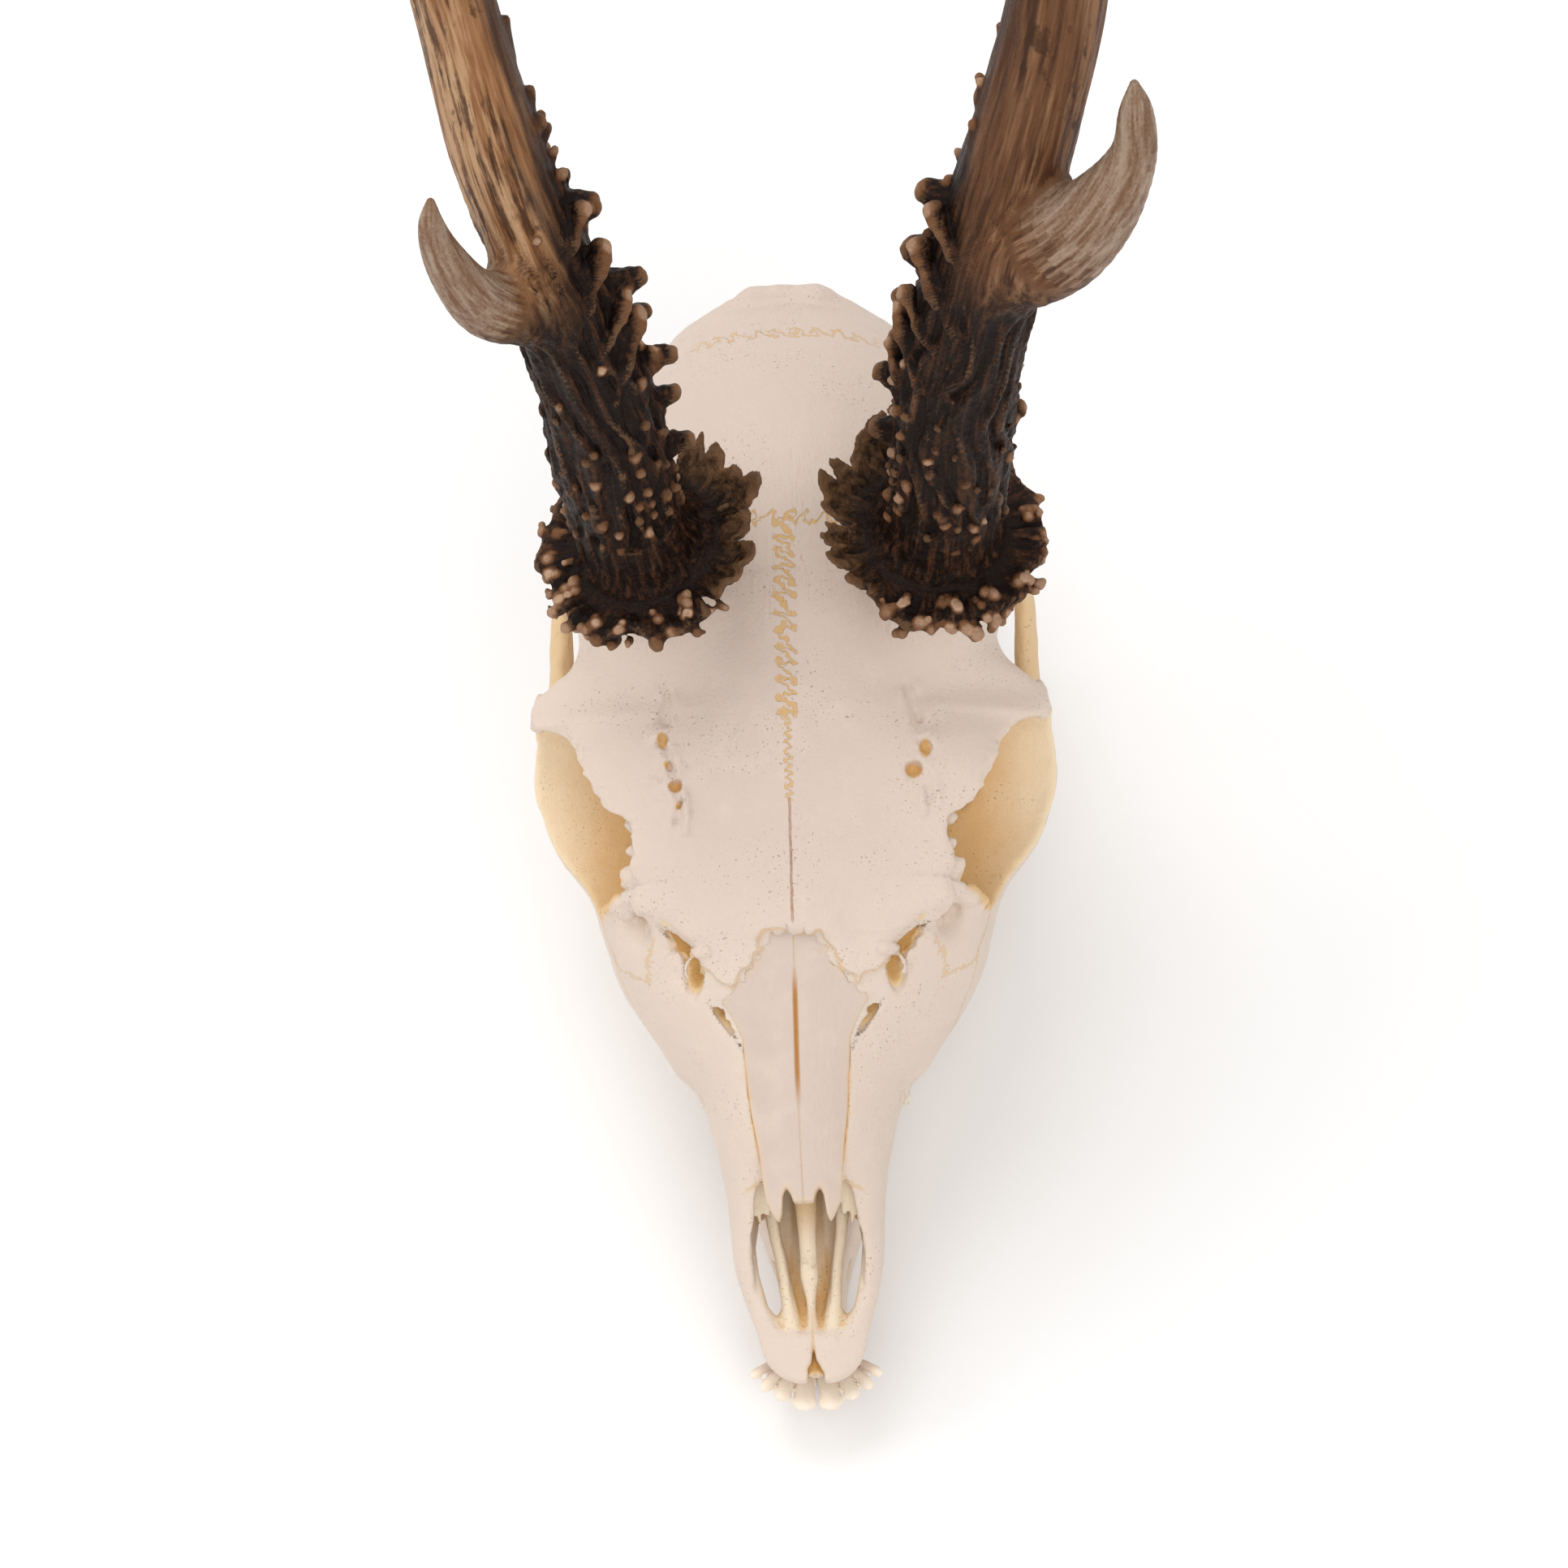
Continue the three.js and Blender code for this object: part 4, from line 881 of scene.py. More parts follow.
def antler_paint(label, side):
    """Antler: near-black at the foot, red-brown and streaked above, pale on the tines, tan on worn tips."""
    p = Paint(f"antler_{label}", 0.62, FOOT_BLACK, Specular_IOR_Level=0.12)
    offset = (0, 0, 0) if side > 0 else (31, 17, 5)
    grain, calm = p.attribute("grain", "Vector"), p.attribute("calm")
    hollow, tip, bare, inner = (p.attribute(name) for name in ("hollow", "tip", "bare", "inner"))
    streak = p.noise(0.9, 4, 0.6, at=grain, stretch=(1, 1, 0.06), offset=offset) * calm
    band = p.noise(0.28, 3, 0.6, at=grain, stretch=(1, 1, 0.09), offset=offset) * calm
    patch = p.noise(0.09, 3, 0.6, stretch=(1, 1, 0.5), offset=offset)
    fine = p.noise(1.7, 3, 0.6, offset=offset)
    blotch = p.noise(0.2, 4, 0.65, stretch=(1, 1, 0.3), offset=(5, 8, 3))
    height = p.split(p.head)[2] + patch * 26 - inner.rise(0.55, 1) * 22
    p.coat((streak + fine * 0.4).rise(-0.08, 0.3), FOOT_BROWN)
    p.coat(p.attribute("leaf") * (streak * 2.6 + 0.45), LEAF_BROWN)

    dark, medium, light = BROWNS[side]
    brown = p.mix(streak.rise(-0.24, 0.16), dark, medium)
    brown = p.mix((streak + band + inner.rise(0.55, 0.1) * 0.16).rise(0.03, 0.34), brown, light)
    brown = p.mix((band - streak * 0.6 + blotch * 0.6).rise(0.06, 0.22) * 0.85, brown, STREAK)
    brown = p.mix(blotch.rise(0.1, 0.2) * 0.7, brown, BLOTCH)
    brown = p.mix((inner + band * 1.2).rise(0.58, 0.9) * 0.88, brown, INNER_BROWN)
    p.coat(height.rise(146, 168), brown)
    p.coat((hollow + fine * 0.1).rise(0.51, 0.66) * (height.rise(172, 150) * 0.85 + 0.15), FURROW)

    pale = p.mix((streak + fine * 0.3).rise(-0.2, 0.22), TINE_GREY, TINE_PALE)
    p.coat((bare + streak * 0.6 + patch * 0.3).rise(0.28, 0.8), pale)
    p.coat((tip + fine * 0.2).rise(0.08, 0.5), PEARL_BROWN)
    p.coat((tip + fine * 0.3).rise(0.45, 0.95) * 0.9, PEARL_WORN)
    p.coat((hollow + fine * 0.12).rise(0.40, 0.27) * height.rise(200, 175) * 0.45, RIDGE)
    return p.finish(streak * 1.3 + fine * 0.6, 0.45, fine * 0.4 + 0.5 - bare * 0.04)


# ---------- cranium
FACE_LOFT = loft(FACE, -1.4, 113.5)
ROOF_LOFT = loft(ROOF, 72, 131)


def at(side, stops):
    """The stops on one side of the head."""
    return [[side * x, *rest] for x, *rest in stops]


def orbit(side, more=0.0):
    centre, radii = ORBIT
    return egg((side * centre[0], *centre[1:]), [r + more for r in radii])


def add_cheek(field, side):
    """The cheek's arch, the bar behind the orbit, and the orbit's thin bowl."""
    plate = [[25, 64, 15, 1.3, 2], [29.8, 70, 18, 2, 7.5], [33, 78, 20.5, 1.9, 9.5],
             [36.6, 88, 18.4, 1.8, 7.2], [42.2, 95.5, 18.4, 1.7, 5.8], [44.9, 102, 18.8, 1.6, 5.4],
             [45.8, 109, 20, 1.6, 5.4], [44, 118, 21, 2.1, 4.8], [42.8, 127, 21.8, 2.3, 4.2],
             [42.6, 140.2, 23, 1.9, 3.1], [40.5, 148, 25.2, 1.8, 3.3], [33, 153.5, 26, 2.6, 3.2],
             [24, 157, 25, 4, 4]]
    field.add(tube(at(side, plate), steps=4), 1.5)
    spur = [[45.2, 106.5, 20, 1.7, 5], [45.6, 110.5, 30, 1.6, 3.6], [45.4, 112.5, 38, 1.5, 2.9],
            [44.8, 112.5, 45.5, 1.4, 3.6]]
    field.add(tube(at(side, spur), steps=5, up=BACK), 2)
    bowl = both(orbit(side, BONE * 0.8), prism(BOWL_PLAN, 8, 35.5, side))
    field.add(bowl, 1.2)
    field.cut(orbit(side), 0.8)


def orbit_rim(field, side):
    """The roof's hook behind the orbit, and the lumpy ledge in front of it."""
    hook = [[41, 112.8, 46.8, 2.4, 1.6], [44.2, 111.6, 45.6, 1.6, 1.1], [46.2, 109.8, 44.2, 0.5]]
    field.add(tube(at(side, hook), steps=3), 1)
    lumps = ((27.6, 91.2, 43.4, 1.5), (28.0, 86.6, 42.4, 1.3), (28.6, 82.8, 41.2, 1.6),
             (27.2, 79.2, 39.4, 1.4), (30.2, 78.2, 36.4, 1.7), (32.6, 78.0, 33.0, 1.4),
             (33.6, 79.6, 29.6, 1.2))
    for x, y, z, radius in lumps:
        field.add(egg((side * x, y, z), (radius * 1.2, radius, radius * 0.9)), 1.2)
    for x, y, z, radius in ((29.4, 84.6, 42.2, 0.8), (30.4, 80.2, 38.4, 0.9), (29.4, 88.8, 43.2, 0.9)):
        field.cut(egg((side * x, y, z), (radius, radius * 0.8, radius * 1.6)), 0.6)


def add_molar(field, side, x, y, root, edge, wide, long, lobes):
    """A cheek tooth: its lobes one behind the other, each with an outer and an inner cusp."""
    middle, half = (root + edge) / 2, abs(edge - root) / 2
    for i in range(lobes):
        at_y = y + ((i + 0.5) / lobes - 0.5) * long
        size = (wide * 0.46, long / lobes * 0.5, half)
        field.add(brick((side * x, at_y, middle), size, 1.0), 0.6)
        for out, tall in ((0.27, 1.9), (-0.24, 1.3)):
            cusp = (side * (x + out * wide), at_y, edge)
            field.add(egg(cusp, (wide * 0.15, long / lobes * 0.4, tall)), 0.5)
        pit = (side * x, at_y, edge + math.copysign(0.3, edge - root))
        field.cut(egg(pit, (wide * 0.16, long / lobes * 0.3, 1.5)), 0.5)
    for i in range(1, lobes):
        at_y = y + (i / lobes - 0.5) * long
        for out in (0.5, -0.5):
            field.cut(egg((side * (x + out * wide), at_y, middle), (0.9, 0.5, half * 1.3)), 0.6)


def add_teeth(field, side, front, back, root, edge, lobes):
    """Three premolars and three longer molars, from [y, x, width] at the row's front to its back."""
    done = 0
    for share, count in zip((0.13, 0.145, 0.145, 0.19, 0.2, 0.19), lobes):
        t = done + share / 2
        done += share
        y, x, wide = (lerp(a, b, t) for a, b in zip(front, back))
        add_molar(field, side, x, y, root, edge, wide, share * (back[0] - front[0]) * 0.94, count)


def nasal_bed(side):
    """The place of a nasal bone: its plan, finely toothed at the back, down to the floor under it."""
    plan = at(side, NASAL_PLAN)
    floor = loft({**FACE, "top": under_nasals(0)}, 10, 90)

    def distance(x, y, z):
        toothed = smoothstep(57, 63, y)
        u = x + toothed * (0.4 * np.sin(2.3 * y + 2 * np.sin(0.9 * x)) + 0.2 * np.sin(4.3 * y + x))
        v = y + toothed * (0.5 * np.sin(2.0 * x + 1.7 * np.sin(0.8 * y)) + 0.25 * np.sin(4.1 * x + y))
        made = np.maximum(flat_distance(plan, u, v), flat_distance(NASAL_SIDE, y, z))
        return np.maximum(made, -floor.distance(x, y, z))

    return Shape((-15, 15, 10), (15, 80, 60), distance)


def nasal_cut(side):
    """The bed made smaller, so that the bones' edges meet at the sides and overlap at the back."""
    bed = nasal_bed(side)
    return Shape(bed.low, bed.high,
                 lambda x, y, z: bed.distance(x, y, z) + lerp(0.2, 0.5, smoothstep(50, 58, y)))


def face_gaps(field, side):
    """The ragged gap between the face's bones in front of the orbit, the fissure below it, and a splinter."""
    gap = [[23.4, 74.0, 38.6, 0.8], [20.9, 71.4, 37.4, 1.4], [18.7, 69.2, 36.8, 1.6], [17.8, 66.6, 36.4, 1.8],
           [18.2, 64.0, 34.6, 1.7], [18.6, 61.8, 33.4, 0.7]]
    fissure = [[15.2, 61.6, 33.6, 0.5], [13.8, 59.6, 32.8, 1.1], [12.0, 56.8, 32.2, 0.9],
               [10.4, 54.2, 31.6, 0.5], [9.8, 52.4, 31.2, 0.3]]
    for path in (gap, fissure):
        for rise in (0, 2.5, 5):
            field.cut(tube(at(side, [[x, y, z + rise, r] for x, y, z, r in path]), steps=4), 0.4)
    rng = np.random.RandomState(17 + side)
    for _ in range(12):
        t = rng.uniform(0, 1)
        x, y, z = lerp(21.6, 18.2, t) + rng.normal(0, 1.2), lerp(72.6, 62.4, t), lerp(39.6, 35.0, t)
        bite = rng.uniform(0.4, 0.8)
        field.cut(egg((side * x, y, z), (bite, bite * 1.2, 2), turn_z=40), 0.4)
    splinter = [[15.6, 68.6, 39.2, 0.8], [18.0, 68.2, 38.2, 0.45], [19.6, 66.0, 36.6, 0.4],
                [19.2, 64.8, 35.8, 0.5]]
    field.add(tube(at(side, splinter), steps=3), 0.5)


def forehead_pits(field):
    """Grooves and holes over the eyes, unlike on the two sides, each with porous lumps about it."""
    grooves = (((-21.2, 111.6), (-21.9, 108), (-22.3, 104.6), 0.8),
               ((-21.4, 101.6), (-21.0, 98.6), (-20.4, 95.6), 0.7),
               ((21.4, 111.8), (22.9, 107.4), (24.2, 102.6), 0.9),
               ((-19.8, 94), (-19.6, 91.8), (-19.9, 89.4), 0.5),
               ((24.6, 94.6), (25, 93), (24.8, 91.6), 0.45))
    for *places, radius in grooves:
        stops = []
        for i, (x, y) in enumerate(places):
            stops.append([x, y, field.top(x, y) + 0.25, radius * (1 + 0.3 * i), radius * 0.9])
        for x, y, z, wide, _ in stops:
            field.add(egg((x + math.copysign(1.3, x), y + 0.6, z - 0.9), (1.2, 1.9, 1.1)), 1.2)
            field.add(egg((x - math.copysign(1.2, x), y - 0.8, z - 0.9), (1.0, 1.6, 1.0)), 1.2)
        field.cut(tube(stops, steps=3), 0.6)
    for x, y, wide, long, sunk in PITS:
        top = field.top(x, y)
        lip = (x + math.copysign(0.6, x), y + long, top - 0.5)
        field.add(egg(lip, (wide + 1.1, long * 0.8 + 0.6, 1.2)), 1.2)
        field.cut(egg((x, y, top - 0.1), (wide, long, sunk), turn_x=25, turn_z=math.copysign(20, x)), 0.5)
        field.cut(egg((x + 0.5, y + 0.6, top - 0.1), (wide * 0.6, long * 0.7, sunk), turn_z=40), 0.4)
    rng = np.random.RandomState(5)
    for middle_x, middle_y, number in ((-21.4, 100, 16), (23, 101, 14), (-20, 93, 7)):
        for _ in range(number):
            x, y = middle_x + rng.normal(0, 1.5), middle_y + rng.normal(0, 4)
            field.cut(egg((x, y, field.top(x, y)), (0.45, 0.6, 0.5)), 0.3)


def nose_inside(field, side):
    """Scrolls of thin bone behind the nose's opening, and their ragged front edges."""
    scroll = egg((side * 5.2, 45, 16.6), (3.0, 16, 5.6), turn_x=13)
    field.add(without(scroll, grown(scroll, -0.9), egg((side * 7.4, 41, 13), (3, 17, 4))), 0.3)
    field.add(egg((side * 5, 47, 10.4), (2.8, 16, 2.2), turn_x=9), 1)
    edges = ((8.6, 30, 15.4, 1.5), (7.4, 27.4, 13.4, 1.2), (8.8, 26, 12.0, 0.9), (6.4, 29.6, 14.8, 1.0))
    for x, y, z, wide in edges:
        field.add(tube(at(side, [[x + 0.6, y + 8, z + 4.4, wide, 0.7], [x, y + 3, z + 1.4, wide, 0.6],
                                 [x - 0.6, y, z - 0.8, wide * 0.5, 0.45]]), steps=2), 0.7)


def build_head():
    """The cranium without the nasal bones: its bodies, then its openings, and then the fine forms."""
    field = Field((-49.5, -3, -13), (49.5, 202, 72), HEAD_PITCH)
    field.add(FACE_LOFT, 1)
    field.add(loft(BRAINCASE, 72, SKULL_LENGTH + 0.4), 4)
    field.add(ROOF_LOFT, 2.4)
    for _, side in SIDES:
        pedicle = [[24.5, 127.5, 48, 13.5], [25, 129, 58, 12], [25.4, 130.4, 66, 11.2],
                   [25.5, 131, 70.4, 11.4]]
        field.add(tube(at(side, pedicle), up=BACK), 6)
        field.add(egg((side * 20.6, 61, 10), (3.2, 7, 4.2)), 3)  # the lump on the cheek above the teeth
        field.add(egg((side * 16, 166, 5.5), (6.5, 10, 6.5), turn_z=side * -20), 2)  # hearing capsule
        ear_tube = [[22, 160.5, 13, 4.4], [28, 160, 17, 3.8], [30.2, 159.6, 18.4, 3.4]]
        field.add(tube(at(side, ear_tube)), 2)
        field.add(egg((side * 9, 191.5, 12), (6, 6.5, 8), turn_z=side * 20), 2)  # occipital condyle
        pterygoid = [[8.4, 112, 6, 1.1, 4], [9, 125, 6, 1.2, 9], [9.6, 134, 9, 1.4, 7]]
        field.add(tube(at(side, pterygoid), steps=4), 2)
        paroccipital = [[20, 181, 16, 4], [22, 184.5, 3, 2, 3], [21.5, 186, -9, 0.9, 1.4]]
        field.add(tube(at(side, paroccipital), up=BACK), 2)
        temporal_crest = [[22, 150, 35, 1.0], [25.4, 166, 33, 1.4], [25.6, 178, 24, 1.8],
                          [23.5, 184, 13, 1.8]]
        field.add(tube(at(side, temporal_crest), up=ACROSS), 2.5)
        nuchal_crest = [[6, 196.2, 37.2, 1.8], [13.5, 193.2, 34.6, 1.8], [22, 188, 29, 1.9],
                        [27, 180, 20, 1.4]]
        field.add(tube(at(side, nuchal_crest), up=BACK), 2.5)
    field.add(tube([[-6, 196.2, 37.2, 1.8], [0, 196.6, 37.4, 2], [6, 196.2, 37.2, 1.8]], up=BACK), 2.5)
    field.add(tube([[0, 196, 33, 1.4], [0, 195.4, 27, 1.8], [0, 194, 22, 1.2]], up=ACROSS), 3)
    field.add(tube([[0, 140, 11, 4, 2.4], [0, 165, 8.6, 5, 2.4], [0, 186, 8, 8, 3]]), 3)

    field.cut(loft(NOSE, -6, 60), 1.6)
    opening = [[7.6, 7], [9.8, 14], [10.1, 20.5], [9.0, 24.5], [7.2, 27], [6.6, 31]]
    field.cut(prism(opening + at(-1, reversed(opening)), 7.5, 60), 1.4)
    field.cut(egg((0, 78, -2.5), (10.5, 62, 6.5)), 1.5)  # palate
    field.cut(egg((0, 122, 4), (7.2, 16, 9.5)), 1.2)  # inner nostrils
    field.cut(egg((0, SKULL_LENGTH + 1, 17), (7.4, 16, 8)), 1.2)  # foramen magnum
    field.cut(egg((0, 176, 19), (14, 16, 12)), 2)  # the brain's room behind it
    notch = [[-2.2, -4], [2.2, -4], [1.5, -0.8], [1.7, 0.2], [1.0, 0.8], [0.9, 1.6], [0.3, 2.4], [0.15, 6.4],
             [-0.2, 4.2], [-0.6, 1.8], [-1.3, 1.1], [-1.2, 0.0]]
    field.cut(prism(notch, -5, 12), 0.5)
    field.add(egg((0, 3.2, 0.9), (2.4, 3.4, 1.2)), 0.4)  # the floor that closes the notch below
    for _, side in SIDES:
        field.cut(egg((side * 4.4, 8.2, 8.2), (2.3, 4.6, 2.6), turn_x=-8, turn_z=side * 8), 1.4)
    for _, side in SIDES:
        field.cut(prism(FISSURE_PLAN, -20, 12, side), 1.2)
        field.cut(orbit(side), 1)
        # The hollow below the roof, behind the orbit's wall, where the jaw's muscle lies.
        field.cut(egg((side * 38, 122, 33), (11, 17, 11)), 3)
        field.cut(egg((side * 26, 104, 8), (9, 20, 9)), 3)
        add_cheek(field, side)
        orbit_rim(field, side)
        # The troughs in front of the orbit, and the holes on the cheek.
        field.cut(egg((side * 23.4, 69.6, 41.8), (5.6, 4.2, 2.4), turn_z=side * 42), 1.5)
        field.cut(egg((side * 28.4, 73.4, 35.6), (2.6, 6.6, 2.2), turn_z=side * 20, turn_y=side * 40), 2.4)
        field.cut(egg((side * 15.4, 51, 10.6), (2.4, 2.6, 1.4), turn_z=side * 30), 1.6)
        field.cut(egg((side * 33, 80, 31), (3, 1.6, 1.8)), 0.8)
        field.cut(egg((side * 31, 160, 18.8), (6, 1.9, 1.9)), 0.8)
    forehead_pits(field)
    for _, side in SIDES:
        add_teeth(field, side, [52, 15, 8], [111, 21.4, 11.5], 2, -5.2, (1, 1, 1, 2, 2, 2))
        field.cut(nasal_cut(side), 0.3)
        nose_inside(field, side)
        # The bar of bone beside each palatine fissure, and the trough between it and the vomer.
        bar = [[3.4, 5.5, 4.4, 1.5], [3.6, 9, 4.4, 1.5], [4.6, 19, 5.4, 1.3], [6.0, 27, 7.4, 1.5],
               [6.8, 36, 10, 1.9]]
        field.add(tube(at(side, bar)), 1)
        trough = [[2.0, 8, 6.0, 0.4], [2.6, 14, 5.6, 0.8], [2.9, 19, 5.8, 1.0], [3.7, 27, 7.6, 1.3],
                  [4.2, 40, 11, 1.5]]
        field.cut(tube(at(side, trough)), 1)
        face_gaps(field, side)
    # A thin tray under the nasal bones closes the lines between them.
    tray = without(loft({**NOSE, "top": under_nasals(0.2)}, 31, 74),
                   loft({**NOSE, "top": under_nasals(1.3)}, 30, 75))
    field.add(both(tray, prism([[-12, 31], [12, 31], [12, 74], [-12, 74]], 14, 60)), 0.4)
    vomer = [[0, 5.4, 3.6, 0.9, 1.2], [0, 12, 5.4, 0.8, 1.6], [0, 17.2, 7.8, 1.6, 1.6],
             [0, 21, 8.8, 1.5, 1.4], [0, 28, 12, 1.9, 2.4], [0, 36, 15, 2.5, 3.4], [0, 57, 16, 1.8, 5]]
    field.add(tube(vomer, steps=5), 0.8)
    # Crumbs of bone on the vomer.
    for x, y in ((-0.7, 18.6), (0.5, 17.8), (0.2, 19.4)):
        field.add(egg((x, y, 9.4), (0.6, 0.5, 0.7)), 0.4)
    return field


def dress_head():
    """The cranium's mesh, and the facts that its paint reads."""
    field = build_head()
    points, faces = field.surface()
    points = relaxed(points, faces)
    # The share of bone about each point, small and large; the paint lays painted shade where it is high.
    hollow, deep = crowding(field, points, 2.2), crowding(field, points, 6.5)
    normals = normals_of(points, faces)
    x, y, z = points.T
    across = np.abs(x)
    lumps = noise(points, 9, 1) * 0.16 + noise(points, 3.4, 2) * 0.07 + noise(points, 1.4, 3) * 0.03
    thin_edge = smoothstep(0.45, 0.3, hollow)
    ragged = smoothstep(60, 64, y) * thin_edge * noise(points, 1.8, 4) * 0.22
    # The frontal bones end in a toothed step over the bones of the face.
    frontal = flat_distance(FRONTAL_PLAN, across, y)
    frontal = frontal + noise(points, 2.2, 8) * 1.1 + noise(points, 1.1, 9) * 0.5
    step = smoothstep(0.5, -0.5, frontal) * smoothstep(-9, -1, frontal) * (y < 80) * (z > 33) * 0.85
    points = raised(points, normals, lumps + ragged + step)
    # Fine uneven teeth along the roof's edge over the orbit.
    rim = thin_edge * smoothstep(26, 28, across) * smoothstep(78, 80, y) * smoothstep(109, 106, y) * (z > 39)
    teeth = (noise(points, 1.5, 6) * 0.55 + noise(points, 0.8, 7) * 0.3) * rim
    points[:, 0] += np.sign(x) * teeth
    # Masks for the painted light and shade in the orbits' bowls and on the arch behind them.
    bowls = [np.abs(orbit(side).distance(x, y, z)) for _, side in SIDES]
    bowl = smoothstep(1.6, 0.6, np.minimum(*bowls)) * smoothstep(43, 38, z) * (across > 24)
    arch = smoothstep(112, 119, y) * smoothstep(152, 136, y)
    arch = arch * smoothstep(36, 40, across) * smoothstep(38, 32, z)
    bowl = np.maximum(bowl, arch)
    pits = np.zeros(len(points), np.float32)
    for pit_x, pit_y, wide, long, _ in PITS:
        reach = np.hypot((x - pit_x) / (wide + 0.25), (y - pit_y) / (long + 0.25))
        pits = np.maximum(pits, smoothstep(1.25, 0.55, reach) * (z > 40))
    skin = np.minimum(FACE_LOFT.distance(x, y, z), ROOF_LOFT.distance(x, y, z))

    def within(front, back, inner, outer):
        return (y > front) & (y < back) & (across > inner) & (across < outer)

    # Masks for the painted shade in the gaps and the notch, stronger deeper under the skin.
    in_gap = (within(61, 75, 14.5, 25) | within(53, 62.5, 8.5, 16.5)) & (z > 27)
    in_notch = ((y < 3) & (across < 2.2) | (y < 6.4) & (across < 0.5)) & (z > -1)
    gaps = np.maximum(smoothstep(-0.7, -3.2, skin) * in_gap, smoothstep(-0.4, -1.4, skin) * in_notch)
    # Mask for the painted light and shade inside the nose.
    nose = smoothstep(62, 50, y) * smoothstep(10, 9, across)
    nose = nose * smoothstep(22, 17, z - np.maximum(y - 30, 0) * 0.3) * smoothstep(4.5, 8, y)
    nose *= smoothstep(-1.2, -2.4, skin)
    # Where the bed under the nasal bones lies, for its painted shade.
    bed = np.minimum(*(nasal_bed(side).distance(x, y, z) for _, side in SIDES))
    beds = smoothstep(0.5, -0.05, bed) * smoothstep(-3, -1.4, bed)
    edges = {f"{name}_edge": flat_distance(outline, y, z) for name, outline in SIDE_OUTLINES.items()}
    paired = ("frontal", "maxilla", "premaxilla", "zygomatic")
    nodes = ["braincase", "vomer"] + [f"{bone}_{label}" for label, _ in SIDES for bone in paired]
    piece("skull", points, faces, bone_paint(), "cranium_bone", nodes, hollow=hollow, deep=deep,
          frontal_edge=frontal, coronal=CORONAL - y, bowl=bowl, bed=beds, pits=pits, gaps=gaps, nose=nose,
          **edges)


# ---------- nasal bones
def dress_nasal(label, side, material):
    low, high = ((-1, 18, 17), (16, 76, 45.5)) if side > 0 else ((-16, 18, 17), (1, 76, 45.5))
    field = Field(low, high, NASAL_PITCH)
    bone = loft({**FACE, "top": NASAL_PROFILE}, 20, 75)
    field.add(both(bone, nasal_bed(side), one_side(side, -0.15)), 0.3)
    # Each bone dips to the midline, where a slit opens between the two.
    slit = [[0, 20, 25.6, 0.2], [0, 34, 31.2, 0.2], [0, 42, 34.0, 0.4], [0, 50, 37.0, 0.7],
            [0, 57, 39.6, 0.6], [0, 62, 41.8, 0.25], [0, 73, 45.2, 0.2]]
    field.cut(tube(slit), 0.7)
    points, faces = field.surface()
    points = relaxed(points, faces)
    normals = normals_of(points, faces)
    under = smoothstep(-0.05, -0.45, normals[:, 2])
    lumps = noise(points, 8, 21) * 0.10 + noise(points, (1.5, 6, 3), 22) * 0.04
    points = raised(points, normals, lumps)
    edge = -flat_distance(at(side, NASAL_PLAN), points[:, 0], points[:, 1])
    piece(f"nasal_bone_{label}", points, faces, material, "face_bone", [f"nasal_{label}"],
          edge=edge, under=under)


# ---------- lower jaws
# The four front teeth: their middle [x, y, z], [half width, half length], and turn outwards in degrees.
INCISORS = [[(2.2, -1.5, -3.7), (2.5, 4.6), 3], [(5.6, -0.2, -3.6), (1.75, 4.1), 20],
            [(8.0, 1.0, -3.2), (1.3, 3.9), 36], [(9.7, 2.6, -2.6), (1.1, 3.4), 50]]


